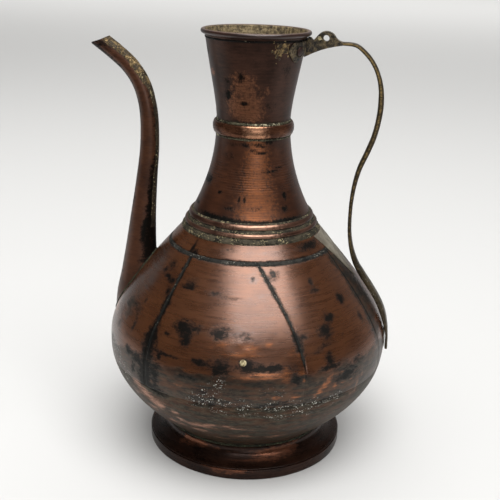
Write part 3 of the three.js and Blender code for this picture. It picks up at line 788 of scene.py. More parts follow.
def plain_metal(name, dark, light, roughness, grain=6.0, metallic=0.4, crust=None, crust_share=0.5,
                depth=0.05):
    """Metal in two tones, with a ragged crust of another colour where asked."""
    f = Finish(name)
    clouds = f.noise(grain, detail=6, roughness=0.65)
    fine = f.noise(grain / 6, detail=4, roughness=0.65)
    colour = f.mix(f.step(clouds, 0.36, 0.64), dark, light)
    rough = f.times_plus(fine, 0.2, roughness - 0.1)
    shine = metallic
    height = f.times_plus(clouds, 0.6, fine)
    if crust is not None:
        cover = f.times_plus(f.noise(grain * 2.1, detail=5, roughness=0.7), 0.7, f.times(fine, 0.3))
        edge = 0.5 + (0.5 - crust_share) * 0.35
        cover = f.step(cover, edge - 0.06, edge + 0.06)
        colour = f.mix(cover, colour, crust)
        shine = f.times_plus(cover, -0.6 * metallic, metallic)
        rough = f.times_plus(cover, 0.15, rough)
        height = f.times_plus(cover, 0.8, height)
    f.set(Base_Color=colour, Roughness=rough, Metallic=shine)
    f.bump(height, depth)
    return f.material


def gritty(name, dark, light, speck, share=0.62, grain=1.6, patchy=0.0):
    """Crumbly filler: dark and light grains with pale specks, whose share may come in patches."""
    f = Finish(name)
    coarse = f.noise(grain * 5, detail=4)
    fine = f.noise(grain, detail=5, roughness=0.75)
    tone = f.times_plus(coarse, 0.5, f.times(fine, 0.5))
    dots = f.noise(grain * 0.8, detail=2)
    if patchy:
        dots = f.times_plus(f.math("SUBTRACT", f.noise(14, detail=3), 0.5), patchy, dots)
    dots = f.step(dots, share, share + 0.06)
    colour = f.mix(dots, f.mix(f.step(tone, 0.4, 0.62), dark, light), speck)
    f.set(Base_Color=colour, Roughness=f.between(fine, 0.5, 0.85), Metallic=0.6)
    f.bump(f.math("ADD", fine, dots), 0.2)
    return f.material


# The third colour of each is the bare tone; on the neck, beads, collar, rim crest, strap and foot edges it
# also paints highlights.
BELLY_COPPER = old_copper(
    "belly_copper", (0.084, 0.0285, 0.0105), (0.148, 0.0525, 0.019),
    (0.4, 0.14, 0.052), roughness=0.28, metallic=0.6, ior=2.1)
BOWL_COPPER = old_copper(
    "bowl_copper", (0.07, 0.026, 0.0115), (0.145, 0.056, 0.028), (0.6, 0.32, 0.215), roughness=0.4,
    haze_tones=((0.018, 0.0178, 0.0128), (0.09, 0.077, 0.054)), ior=1.3)
NECK_COPPER = old_copper(
    "neck_copper", (0.03, 0.0105, 0.005), (0.068, 0.0225, 0.009),
    (0.3, 0.105, 0.04), roughness=0.34, lines_depth=0.06, ior=1.6)
FUNNEL_COPPER = old_copper(
    "funnel_copper", (0.024, 0.0125, 0.009), (0.058, 0.0265, 0.0175),
    (0.3, 0.125, 0.065), roughness=0.32, ior=1.3)
RIM_COPPER = old_copper(
    "rim_copper", (0.022, 0.009, 0.0065), (0.05, 0.02, 0.0135), (0.3, 0.2, 0.15), roughness=0.34)
FOOT_COPPER = old_copper(
    "foot_copper", (0.01, 0.0052, 0.0038), (0.034, 0.0145, 0.009),
    (0.24, 0.092, 0.05), roughness=0.28, ior=1.3)
SPOUT_COPPER = old_copper(
    "spout_copper", (0.042, 0.016, 0.008), (0.09, 0.033, 0.015),
    (0.2, 0.088, 0.045), roughness=0.34, ior=1.5)
STRAP_BRASS = old_copper(
    "strap_brass", (0.016, 0.011, 0.0055), (0.06, 0.042, 0.019),
    (0.5, 0.34, 0.13), roughness=0.36, ior=1.5)
BEAD_COPPER = old_copper(
    "bead_copper", (0.035, 0.0155, 0.01), (0.12, 0.06, 0.04),
    (0.48, 0.275, 0.19), roughness=0.34, metallic=0.6, ior=1.3)
COLLAR_COPPER = old_copper(
    "collar_copper", (0.035, 0.013, 0.007), (0.12, 0.048, 0.025),
    (0.66, 0.34, 0.2), roughness=0.27, metallic=0.6, ior=1.3)
INSIDE = plain_metal(
    "inside_tin", (0.1, 0.07, 0.03), (0.34, 0.26, 0.14), 0.65, grain=2.4, metallic=0.2,
    crust=(0.05, 0.035, 0.02), crust_share=0.42, depth=0.15)
CAST_BRASS = plain_metal(
    "cast_brass", (0.05, 0.036, 0.021), (0.22, 0.165, 0.09), 0.38, grain=2.2,
    crust=(0.012, 0.0095, 0.007), crust_share=0.5, depth=0.35)
BRAZING = plain_metal(
    "brazing_brass", (0.09, 0.06, 0.026), (0.42, 0.29, 0.135), 0.36, grain=2.6, metallic=0.75,
    crust=(0.035, 0.024, 0.012), crust_share=0.5, depth=0.2)
PLUG_BRASS = plain_metal(
    "plug_brass", (0.4, 0.32, 0.15), (0.72, 0.62, 0.38), 0.34, grain=1.6, metallic=0.5,
    crust=(0.12, 0.09, 0.04), crust_share=0.4, depth=0.2)
TIN = plain_metal(
    "tin", (0.16, 0.135, 0.1), (0.29, 0.26, 0.2), 0.45, grain=9, metallic=0.4,
    crust=(0.12, 0.1, 0.075), crust_share=0.3, depth=0.1)
WIRE = plain_metal("wire", (0.05, 0.045, 0.04), (0.12, 0.1, 0.09), 0.6)
RIVET_COPPER = plain_metal("rivet_copper", (0.018, 0.007, 0.005), (0.045, 0.017, 0.011), 0.5, grain=3)
SEAM_GRIT = gritty("seam_grit", (0.004, 0.0045, 0.004), (0.02, 0.019, 0.015), (0.24, 0.24, 0.18), 0.66)
SEAM_GREY = gritty(
    "seam_grey", (0.007, 0.007, 0.006), (0.045, 0.042, 0.035),
    (0.34, 0.32, 0.27), 0.63, grain=1.2, patchy=0.5)
CHANNEL_GRIT = gritty(
    "channel_grit", (0.013, 0.011, 0.007), (0.1, 0.083, 0.053), (0.36, 0.3, 0.17), 0.6, patchy=0.5)
FOOT_SOLDER = gritty("foot_solder", (0.01, 0.012, 0.007), (0.055, 0.053, 0.031), (0.14, 0.17, 0.09), 0.6)
CREAM_CRUST = gritty(
    "cream_crust", (0.02, 0.017, 0.011), (0.16, 0.145, 0.09), (0.62, 0.56, 0.38), 0.59, patchy=0.9)
RIM_SHADOW = gritty(
    "rim_shadow", (0.004, 0.003, 0.003), (0.016, 0.012, 0.009), (0.2, 0.18, 0.13), 0.66, patchy=0.5)
SPOUT_GRIT = gritty(
    "spout_grit", (0.017, 0.013, 0.0085), (0.07, 0.05, 0.029),
    (0.34, 0.28, 0.15), 0.62, grain=2, patchy=0.6)


# Foot

def add_filler(name, finish, profile, sides, depth, grain, seed):
    """Crumbly ring of solder or grit."""
    return place(turned(name, profile, sides, warp=crumbly(depth, grain, seed)), finish, "tin")


def add_foot():
    sheet, soft, lip = 2.2, 0.45, 0.9
    turned_in, inner = 1.6, FOOT_RADIUS - 6.2
    profile = np.concatenate([
        arc((inner + soft, soft), soft, 180, 270, 4),
        arc((FOOT_RADIUS - lip, lip), lip, 270, 360, 7),
        arc((FOOT_RADIUS - soft, FOOT_BAND_HEIGHT - soft), soft, 0, 90, 5),
        arc((FOOT_RADIUS - sheet + soft, FOOT_BAND_HEIGHT - soft), soft, 90, 180, 5),
        arc((FOOT_RADIUS - sheet - soft, turned_in + soft), soft, 360, 270, 5),
        arc((inner + soft, turned_in - soft), soft, 90, 180, 4),
    ])
    flat = lambda points: np.where(points[..., 2:] < 0.02, points, dented(points))
    band = turned("fine_foot_band", profile, BODY_SIDES, warp=flat)
    place(paint(band, foot_masks), FOOT_COPPER, "dark_copper", "foot_band")
    under = FOOT_BAND_HEIGHT + 0.3
    outside = [(84.4, under + 1), (78.5, under + 2), (74.8, 13.2), (71.2, 17), (70.3, 20.8), (71.2, 23.8)]
    inside = [(69.9, 22.6), (69, 20.4), (70, 16.4), (74, 12), (78.6, under)]
    profile = np.concatenate([
        arc((84.1, under + 0.5), 0.5, -90, 80, 6),
        catmull_rom(outside, np.linspace(0, 1, 30))[1:],
        catmull_rom(inside, np.linspace(0, 1, 26)),
    ])
    ring = turned("fine_foot_ring", profile, BODY_SIDES)
    place(paint(ring, foot_masks), FOOT_COPPER, "dark_copper", "foot_ring")
    joint = np.concatenate([arc((71.4, 24.6), 1.5, -95, 50, 7), arc((70.8, 24.3), 1.2, 60, 250, 7)])
    add_filler("foot_joint_solder", FOOT_SOLDER, joint, BODY_SIDES, 0.25, 1.6, 41)


# Belly

def add_bowl():
    top = BOWL_SEAM - SEAM_GAP
    heights = np.append(np.linspace(BOWL_CURVE[0][1], top - 1.4, 44), top - np.array([0.9, 0.5, 0.2, 0.0]))
    floor = [(0.0, 16.0), (18, 16), (36, 16.2), (54, 16.5), (63, 18.6), (68.3, 21.6)]
    floor_inside = [(67.6, 22.9), (62.5, 19.9), (53.6, 17.7), (36, 17.4), (18, 17.2), (0.0, 17.2)]
    profile = np.concatenate([
        along(3, *floor), BODY.layer(heights, -EDGE_DROP * bell(top - heights, 0.6), -SHEET),
        along(3, *floor_inside),
    ])
    bowl = turned("fine_base_bowl", profile, BODY_SIDES, closed=False)
    place(paint(bowl, body_masks), BOWL_COPPER, "copper", "base_bowl")
    line_inside(bowl, centre_height=BELLY_MIDDLE)


def beside(seam, way, gap):
    """The border of a sheet or a strip, gap mm from a seam."""
    at = varying(seam)
    return lambda z: at(z) + way * np.degrees(gap / BODY.radius(z))


def front_slant(z):
    return -slanted_seam(z)


def add_gores():
    gores = [
        ("gore_handle", -HANDLE_SEAM, HANDLE_SEAM),
        ("gore_front_handle_side", front_slant, -HANDLE_SEAM),
        ("gore_back_handle_side", HANDLE_SEAM, slanted_seam),
        ("gore_front", -SPOUT_SEAM, front_slant),
        ("gore_back", slanted_seam, SPOUT_SEAM),
        ("gore_spout", SPOUT_SEAM, 360 - SPOUT_SEAM),
    ]
    gap = SEAM_HALF - 0.2
    for node, left, right in gores:
        gore = wall_plate("fine_" + node, BODY, beside(left, 1, gap), beside(right, -1, gap),
                          BOWL_SEAM + SEAM_GAP, RING_SEAM - RING_SEAM_HALF, SHEET)
        place(paint(gore, body_masks), BELLY_COPPER, "copper", node)
        line_inside(gore)


def add_seams():
    """Solder in the seams between the sheets, a little lower than the sheets."""
    seams = {
        "spout_front": -SPOUT_SEAM, "middle_front": front_slant, "handle_front": -HANDLE_SEAM,
        "handle_back": HANDLE_SEAM, "middle_back": slanted_seam, "spout_back": SPOUT_SEAM,
    }
    for name, seam in seams.items():
        left, right = beside(seam, -1, SEAM_HALF), beside(seam, 1, SEAM_HALF)
        strip = wall_plate(name + "_seam_solder", BODY, left, right, BOWL_SEAM, RING_SEAM - 0.5, 0.8,
                           base=-0.95, step=0.7, rounding=0.0, warp=crumbly(0.12, 1.4, 51))
        place(paint(strip, body_masks), SEAM_GRIT, "tin")
        strip.data.materials.append(SEAM_GREY)
        strip.data.materials.append(BELLY_COPPER)
        grey_from = SLANT_GREY_FROM if name.startswith("middle") else RING_SEAM
        for face in strip.data.polygons:
            up = face.center.z / MM
            face.material_index = 1 if up > grey_from else 2 if up < SEAM_HIDDEN_BELOW else 0
    arched = 0.25 * np.cos(np.linspace(-math.pi / 2, math.pi / 2, 9))
    half = RING_SEAM_HALF + 0.2
    profile = BODY.layer(np.linspace(RING_SEAM - half, RING_SEAM + half, 9), arched - 0.3, -1.0)
    add_filler("ring_seam_solder", SEAM_GREY, profile, 3 * BODY_SIDES // 2, 0.14, 1.4, 52)
    profile = BODY.layer(np.linspace(BOWL_SEAM - 1.1, BOWL_SEAM + 1.1, 9), arched * 0.3 - 0.02, -1.0)
    paint(add_filler("bowl_seam_solder", BOWL_COPPER, profile, BODY_SIDES, 0.04, 2.5, 54), body_masks)


# Shoulder and neck

def sheet_profile(low, high, step, groove=0.0):
    heights = low + spaced(high - low, step, edge=(0, 0.2, 0.5, 1.0))
    edge = np.minimum(heights - low, high - heights)
    return BODY.layer(heights, -EDGE_DROP * bell(edge, 0.5) - groove * lathe_lines(heights), -SHEET)


def add_shoulder_and_neck():
    gap = 0.15
    profile = sheet_profile(RING_SEAM + RING_SEAM_HALF, NECK_SEAM - gap, 1.2)
    cap = turned("fine_shoulder_cap", profile, BODY_SIDES)
    line_inside(place(paint(cap, body_masks), BELLY_COPPER, "copper", "shoulder_cap"))
    profile = sheet_profile(NECK_SEAM + gap, NECK_TOP - gap, 0.38, groove=LATHE_DEPTH)
    neck = turned("fine_lower_neck", profile, NECK_SIDES)
    line_inside(place(paint(neck, neck_masks), NECK_COPPER, "copper", "lower_neck"))

    t = np.linspace(0, math.pi, 17)
    heights = np.linspace(CHANNEL_FOOT, NECK_SEAM + 0.6, 54)
    fill = 0.75 - 0.55 * smooth_step(1.4, 0, np.minimum(heights - heights[0], heights[-1] - heights))
    for node, z, half in BEADS:
        profile = np.concatenate([
            BODY.line(z - half * np.cos(t), 0.25 + 1.35 * np.sin(t) ** 0.75),
            BODY.line(z + np.linspace(1.1, -1.1, 4), 0.2),
        ])
        bead = turned("fine_" + node, profile, BODY_SIDES)
        place(paint(bead, bead_masks), BEAD_COPPER, "bright_copper", node)
        fill -= 0.66 * bell(heights - z + half + 0.4, 0.7)
    profile = BODY.layer(heights, fill, UNDER_FILLER, skip=2)
    add_filler("channel_filler", CHANNEL_GRIT, profile, 3 * BODY_SIDES // 2, 0.3, 1.7, 53)


def add_collar():
    t = np.radians(np.linspace(-90, 90, 19))
    round_side = np.stack([31.3 + 2.2 * np.cos(t) ** 0.8, COLLAR_HEIGHT + 5.0 * np.sin(t)], -1)
    round_side[:, 0] -= 0.22 * bell(np.abs(round_side[:, 1] - COLLAR_HEIGHT) - 3.3, 0.45)
    profile = np.concatenate([round_side, along(2, (31.0, 287.2), (31.0, 277.8))])
    collar = turned("fine_neck_collar", profile, NECK_SIDES)
    place(paint(collar, bead_masks), COLLAR_COPPER, "bright_copper", "neck_collar")
    crusts = [("collar_crust_upper", FUNNEL, 288.0, 1.3, 61), ("collar_crust_lower", BODY, 276.4, 0.9, 62)]
    for name, wall, z, half, seed in crusts:
        heights = np.linspace(z - half, z + half, 7)
        profile = wall.layer(heights, 0.15 + 0.35 * np.cos((heights - z) / half * 1.4), UNDER_FILLER)
        add_filler(name, CREAM_CRUST, profile, 2 * NECK_SIDES, 0.32, 2.2, seed)


# Mouth

def add_mouth():
    heights = np.linspace(NECK_TOP + 0.15, FUNNEL_CURVE[-1][1], 70)
    roll_sheet = 0.9
    out, up = ROLL_CENTRE
    profile = np.concatenate([
        FUNNEL.line(heights),
        [(out - ROLL_RADIUS + roll_sheet - 0.1, 355.6)],
        arc(ROLL_CENTRE, ROLL_RADIUS - roll_sheet, 180, -75, 22),
        arc(ROLL_CENTRE, ROLL_RADIUS, -75, 180, 34),
        FUNNEL.line(heights[::-1], -SHEET),
    ])
    funnel = turned("fine_mouth_funnel", profile, NECK_SIDES)
    line_inside(place(paint(funnel, funnel_masks), FUNNEL_COPPER, "copper", "mouth_funnel"))
    funnel.data.materials.append(RIM_COPPER)
    for face in funnel.data.polygons:
        x, y, z = face.center
        from_roll = math.hypot(x - AXIS_X, y) / MM - out, z / MM - up
        if math.hypot(*from_roll) > 1.3 and (from_roll[0] > 0.4 or from_roll[1] > 1.4):
            face.material_index = 2
    wire = arc(ROLL_CENTRE, 0.65, 0, 360, 13)[:-1]
    place(turned("fine_rim_wire", wire, NECK_SIDES), WIRE, "iron_wire", "rim_wire")
    # Dark ring just under the roll: a painted shadow, with pale specks of solder in it.
    arched = 0.1 + 0.3 * np.sin(np.linspace(0, math.pi, 7))
    profile = FUNNEL.layer(np.linspace(*RIM_SOLDER_AND_SHADOW, 7), arched, UNDER_FILLER)
    add_filler("rim_solder", RIM_SHADOW, profile, 2 * NECK_SIDES, 0.25, 3, 63)


# Spout: distance from the axis, radius of the tube, and height along its middle line

SPOUT = [
    (96, 21.8, 88), (98.2, 21, 112), (98.8, 19.2, 128), (98, 16.3, 145), (96.3, 13.1, 172),
    (94, 10.8, 200), (91, 9, 230), (88.1, 8, 262), (89.4, 7.5, 293.1), (95.5, 7.1, 312.9),
    (104.4, 7, 326), (116, 6.9, 336.2), (130, 6.7, 346.4), (144, 6.6, 356),
]
SPOUT_LIP = ((136.7, 342.9), (122.1, 349))


def run_of(stations, t):
    """Places along a middle line, and the direction in which it runs on there."""
    ahead = catmull_rom(stations, t + 1e-4) - catmull_rom(stations, t - 1e-4)
    return catmull_rom(stations, t), ahead


def on_spout(t, angle, out=0.0):
    """Point on the tube; angle 0 looks to the neck, and negative ones to the camera's side."""
    here, ahead = run_of(SPOUT, t)
    forward = unit(np.stack([-ahead[..., 0], ahead[..., 2]], -1))
    a = np.radians(angle)
    reach = here[..., 1] + out
    x = -here[..., 0] + forward[..., 1] * reach * np.cos(a)
    z = here[..., 2] - forward[..., 0] * reach * np.cos(a)
    return np.stack(np.broadcast_arrays(x, reach * np.sin(a), z), -1)


def spout_ends(angle):
    """Where each line along the tube leaves the belly and where it meets the slanted lip."""
    t = np.linspace(0.02, 0.995, 900)
    points = on_spout(t[:, None], angle[None, :])
    inside_run = np.hypot(points[..., 0], points[..., 1]) - BODY.radius(points[..., 2]) <= 0.15
    start = t[len(t) - 1 - np.argmax(inside_run[::-1], axis=0)]
    low, high = np.array(SPOUT_LIP)
    across = unit(low - high)
    ahead = (-points[..., 0] - low[0]) * -across[1] + (points[..., 2] - low[1]) * across[0]
    return start, t[np.argmax(ahead > 0, axis=0)]


def add_spout():
    angle = all_round(72)
    v = np.linspace(0, 1, 260)[:, None]
    start, end = spout_ends(angle)
    t = start + (end - start) * v
    uneven = 0.12 * np.sin(v * 31) * np.sin(np.radians(angle))
    outer = on_spout(t, angle, uneven - 0.35 * bell(1 - v, 0.002))
    spout = tube("fine_spout_tube", outer, on_spout(t, angle, uneven - SHEET))
    place(paint(spout, spout_masks), SPOUT_COPPER, "dark_copper", "spout_tube")
    add_spout_seam(np.append(angle, 360), np.append(end, end[0]))
    add_spout_foot_solder()


def add_spout_seam(lip_angle, lip_end):
    """Brass filler along the side to the neck, broad and ragged near the tip."""
    t = np.linspace(*SPOUT_SEAM_RUN, 300)
    u = np.linspace(-1, 1, 25)
    places = on_spout(t, 0.0)
    near = smooth_step(0.60, 0.72, t)
    front = 14 + 50 * near + (7 + 9 * near) * ragged(places, 7, 71)
    back = 12 + 26 * near + 6 * ragged(places, 6, 72)
    centre = -24 + 24 * near
    seam_angle = centre[:, None] + np.where(u < 0, u * front[:, None], u * back[:, None])
    t_grid = np.minimum(t[:, None], np.interp(seam_angle % 360, lip_angle, lip_end) - 0.0005)
    lumps = 0.16 * ragged(on_spout(t_grid, seam_angle), 2.2, 73)
    height = 0.34 * (1 - np.abs(u) ** 6) + 0.16 + lumps * (1 - np.abs(u) ** 4)
    strip = shell("fine_spout_seam", on_spout(t_grid, seam_angle, height),
                  on_spout(t_grid, seam_angle, 0.02), warp=lambda points: points)
    place(strip, BRAZING, "brass", "spout_seam")
    strip.data.materials.append(SPOUT_GRIT)
    centres = np.array([face.center for face in strip.data.polygons]) / MM
    is_gritty = centres[:, 2] + 14 * ragged(centres, 8, 75) < SPOUT_GRIT_BELOW
    strip.data.polygons.foreach_set("material_index", is_gritty.astype(np.int32))


def add_spout_foot_solder():
    bead = np.radians(all_round(10))[None, :, None]
    angle = all_round(240)
    foot = on_spout(spout_ends(angle)[0], angle)
    outwards = unit(foot - np.array([-60.0, 0, 130]))
    side = unit(np.cross(np.roll(foot, -1, axis=0) - np.roll(foot, 1, axis=0), outwards))
    thick = 1.0 + 0.45 * ragged(foot, 6, 74)[:, None, None]
    ring = foot[:, None] + thick * (np.cos(bead) * side[:, None] + 0.8 * np.sin(bead) * outwards[:, None])
    faces = grid_faces(*ring.shape[:2], True, True)
    place(make_object("spout_foot_solder", ring, faces), FOOT_SOLDER, "tin")


# Handle: distance from the axis, height, breadth and thickness along the strap's middle line

HANDLE = [
    (ARM_END - 1.5, 351.2, 5.4, 2.7), (79.7, 350, 5.2, 2.9), (87.8, 344, 5.2, 3.2),
    (94, 336.5, 5.2, 3.2), (98.3, 327.8, 5.4, 3.3), (101, 317.9, 5.6, 3.8), (101.9, 305, 5.8, 4.3),
    (101, 292.5, 6, 4.2), (98.4, 279, 6.2, 4.2), (93.8, 265.6, 6.4, 4.2), (88.6, 252.2, 6.6, 3.9),
    (85.3, 238.1, 6.8, 3.5), (83.7, 224, 7, 3.1), (83.3, 210, 7.2, 2.9), (83.9, 196, 7.6, 3),
    (86.2, 182.9, 8.2, 3.5), (90.8, 170, 9.2, 4.4), (97.1, 159.8, 10.6, 4.8), (104.3, 149.6, 12, 4.6),
    (111, 139.1, 13, 4.5), (116.2, 128.4, 13.4, 4.5), (119.6, 117.5, 13.4, 3.5), (121.6, 107, 13.2, 2.2),
    (122, 95, 12.4, 2.3),
]


def add_handle():
    t = np.linspace(0, 1, 330)
    here, ahead = run_of(HANDLE, t)
    forward = unit(ahead[:, :2])
    a = np.radians(all_round(36))
    squareness, swell, shift = 0.42, 1.08, 0.3
    squared = lambda wave: np.sign(wave) * np.abs(wave) ** squareness
    side, top = squared(np.cos(a)), squared(np.sin(a))
    breadth = here[:, 2:3] / 2 * side
    outwards = shift + swell * (here[:, 3:4] / 2 * top * (1 - 0.12 * side ** 2))
    x = here[:, 0:1] - forward[:, 1:2] * outwards
    z = here[:, 1:2] + forward[:, 0:1] * outwards
    rings = np.stack([x, breadth, z], -1)
    rings += 0.09 * ragged(rings, 3.5, 81)[..., None] * np.array([0.7, 1, 0.7])
    strap = tube("fine_handle_strap", rings)
    # Flat sides painted bright, most near the top, with the edges left dark: worn brass and a painted
    # highlight.
    worn_and_highlit = np.interp(t, [0, 0.12, 0.3, 0.45, 0.6, 0.75, 1], [0.95, 0.9, 0.6, 0.5, 0.45, 0.25, 0.2])
    write_mask(strap, "rubbed", bell(top, 0.55) * worn_and_highlit[:, None])
    write_mask(strap, "specks", 0.3 * smooth_step(0.5, 0.75, t).repeat(len(a)))
    place(strap, STRAP_BRASS, "brass", "handle_strap")
    reach = math.degrees(5 / BODY.radius(104))
    pad = wall_plate("fine_handle_solder", BODY, -reach, reach, 96.5, 112, 0.55, base=0.25, step=0.8,
                     warp=crumbly(0.12, 1.8, 82))
    place(pad, TIN, "tin", "handle_solder")


def add_shoulder_patch():
    tip, top = 158.5, 196.8
    reach = lambda z: np.degrees((0.9 + 0.5 * np.maximum(z - tip, 0)) / BODY.radius(z))
    patch = wall_plate("fine_shoulder_patch", BODY, lambda z: -reach(z), reach, tip, top, 0.6, base=0.1,
                       step=1.0, warp=crumbly(0.1, 5, 83))
    place(patch, TIN, "tin", "shoulder_patch")


# Hinge arm and saddle

def flat_outline():
    """Outline of the arm seen from the camera's side, from the neck over the arch to the strap."""
    def quadratic(a, b, c, count):
        t = np.linspace(0, 1, count)[:, None]
        return (1 - t) ** 2 * np.array(a) + 2 * (1 - t) * t * np.array(b) + t ** 2 * np.array(c)
    return np.concatenate([
        quadratic((38.5, 339.6), (54, 348.2), (ARM_END, 350), 22),
        quadratic((ARM_END, 352.7), (66, 352.9), (63.5, 355.8), 10)[:-1],
        arch(ARCH_RADIUS),
        [(47.3, 355.1), (45.8, 353), (43.6, 355.4), (38.5, 355.4)],
    ])


def arch(radius):
    return arc(ARCH_CENTRE, radius, 26, 140, 30)


def slab(name, outline, half):
    """Flat plate of an outline in the plane of the handle."""
    count = len(outline)
    ring = [np.stack([outline[:, 0], np.full(count, y), outline[:, 1]], -1) for y in (-half, half)]
    faces = [list(range(count)), list(range(2 * count - 1, count - 1, -1))]
    faces += [[i, i + count, (i + 1) % count + count, (i + 1) % count] for i in range(count)]
    return make_object(name, np.concatenate(ring), faces)


def rod(name, centre, radius, half, sides=48):
    return slab(name, arc(centre, radius, 0, 360, sides + 1)[:-1], half)


def bake_modifier(obj, kind, **settings):
    """Adds a modifier and puts its result in the place of the mesh."""
    modifier = obj.modifiers.new(kind.lower(), kind)
    for key, value in settings.items():
        setattr(modifier, key, value)
    evaluated = obj.evaluated_get(bpy.context.evaluated_depsgraph_get())
    mesh = bpy.data.meshes.new_from_object(evaluated)
    obj.modifiers.clear()
    obj.data = mesh


def add_hinge_arm():
    half, through = LUG_THICKNESS / 2, 8
    arm = slab("fine_hinge_arm", flat_outline(), half - 0.35)
    band = np.concatenate([arch(ARCH_RADIUS), arch(ARCH_RADIUS - 1.5)[::-1]])
    wall = FUNNEL.line(np.linspace(330, 354, 20), 0.9)
    neck_room = np.concatenate([[(0, 330)], wall, [(wall[-1, 0], 361), (0, 361)]])
    for other, operation in (
            (slab("arch_band", band, half), "UNION"),
            (rod("eye_ring", PIN_HOLE, PIN_HOLE_RADIUS + 1.1, half), "UNION"),
            (rod("pin_hole", PIN_HOLE, PIN_HOLE_RADIUS, through), "DIFFERENCE"),
            (rod("stub_hole", PIN_STUB, PIN_STUB_RADIUS + 0.25, through), "DIFFERENCE"),
            (turned("neck_room", neck_room, 128, closed=False), "DIFFERENCE")):
        bake_modifier(arm, "BOOLEAN", operation=operation, object=other, solver="EXACT")
        bpy.data.objects.remove(other)
    bake_modifier(arm, "REMESH", mode="VOXEL", voxel_size=0.34 * MM)
    bake_modifier(arm, "SMOOTH", iterations=3, factor=0.5)
    roughen(arm.data, 0.16, 2.4, 91)
    place(arm, CAST_BRASS, "dark_brass", "hinge_arm")
    stub = rod("fine_hinge_pin_stub", PIN_STUB, PIN_STUB_RADIUS, half + 0.3, 32)
    place(stub, PLUG_BRASS, "brass", "hinge_pin_stub")


def roughen(mesh, depth, grain, seed):
    """Moves each point along its normal by a ragged amount."""
    places = read_points(mesh)
    push = depth * MM * ragged(places.astype(float) / MM, grain, seed)
    moved = places + read_points(mesh, "normal") * push[:, None]
    mesh.vertices.foreach_set("co", moved.astype(np.float32).reshape(-1))
    mesh.update()
    mesh.shade_smooth()


def add_saddle():
    rivet_angle, rivet_height = SADDLE_RIVET
    corner = lambda angle: np.maximum(0, (np.abs(angle) - 33) / (SADDLE_REACH - 33)) ** 2
    low = lambda angle: 340.8 - 3.8 * bell(np.abs(angle) - 27, 7) + 5 * corner(angle)
    high = lambda angle: 353 - 5 * corner(angle)

    def relief(angle, z, edge):
        """A ring and a dish round each rivet, and a ridge near each end."""
        across = lambda at: np.radians(np.abs(angle) - at) * FUNNEL.radius(z)
        far = np.hypot(across(rivet_angle), z - rivet_height)
        raised = 0.8 * bell(far - 4.9, 0.7) + 0.45 * bell(across(37), 0.8)
        return raised * smooth_step(0, 0.8, edge) - 0.35 - 0.5 * np.exp(-((far / 3.8) ** 4))

    saddle = wall_plate("fine_neck_saddle", FUNNEL, -SADDLE_REACH, SADDLE_REACH, low, high, 1.7, base=0.3,
                        step=0.6, rounding=0.7, relief=relief, warp=crumbly(0.2, 2.2, 92))
    place(saddle, CAST_BRASS, "dark_brass", "neck_saddle")
    for side, name in ((-1, "saddle_rivet_front"), (1, "saddle_rivet_back")):
        rivet = add_rivet("fine_" + name, FUNNEL, side * rivet_angle, rivet_height,
                          shank=1.4, head=3.8, dome=1.1, cover=1.75)
        place(rivet, RIVET_COPPER, "bright_copper", name)


def add_rivet(name, wall, angle, z, shank, head, dome, cover):
    """Rivet through a wall, with a worn dome outside and a flat head inside."""
    t = np.radians(np.linspace(0, 90, 9))
    profile = np.concatenate([
        [(0, -SHEET - 1.2), (head - 0.5, -SHEET - 1.2)],
        arc((head - 0.3, -SHEET - 0.75), 0.3, -45, 45, 3),
        [(shank, -SHEET - 0.3), (shank, cover)],
        np.stack([head * np.cos(t), cover + 0.15 + dome * np.sin(t)], -1),
    ])
    points = spun(profile, 40)
    points += 0.1 * ragged(points + z, 1.7, 93)[..., None]
    middle = on_wall(wall, angle, z)
    outwards = Vector(on_wall(wall, angle, z, 1.0)) - Vector(middle)
    turn = np.array(outwards.to_track_quat("Z", "Y").to_matrix())
    return make_object(name, points @ turn.T + middle, grid_faces(*points.shape[:2], True, False))


def add_plug():
    plug = add_rivet("fine_repair_plug", BODY, *PLUG, shank=1.7, head=2.6, dome=0.55, cover=-0.15)
    place(plug, PLUG_BRASS, "brass", "repair_plug")


def add_spatter():
    """Drops of brass left beside the saddle."""
    random = np.random.default_rng(95)
    angle, height = SPATTER
    drops = [(angle + 5.5 * random.normal(), height + 3.2 * random.normal(), random.uniform(0.4, 1.3))
             for _ in range(60)]
    drops += [(-50, 347.5, 2.4), (-48, 351, 2.2), (-54, 345, 1.8)]
    shape = bmesh.new()
    bmesh.ops.create_icosphere(shape, subdivisions=3, radius=1)
    ball = np.array([v.co for v in shape.verts])
    ball_faces = np.array([[v.index for v in f.verts] for f in shape.faces])
    shape.free()
    points, faces = [], []
    for count, (angle, z, size) in enumerate(drops):
        middle = on_wall(FUNNEL, angle, z)
        outwards = on_wall(FUNNEL, angle, z, 1.0) - middle
        lump = ball * size * (1 + 0.3 * ragged(ball * 3 + z, 1.5, 96)[:, None])
        lump -= 0.7 * (lump @ outwards)[:, None] * outwards
        faces.append(ball_faces + count * len(ball))
        points.append(dented(lump + middle))
    spatter = make_object("brass_spatter", np.concatenate(points), np.concatenate(faces))
    place(spatter, BRAZING, "brass")


for add_pieces in (add_foot, add_bowl, add_gores, add_seams, add_shoulder_and_neck, add_collar,
                   add_mouth, add_spout, add_handle, add_shoulder_patch, add_hinge_arm, add_saddle,
                   add_plug, add_spatter):
    add_pieces()


# Floor, camera and light, in metres

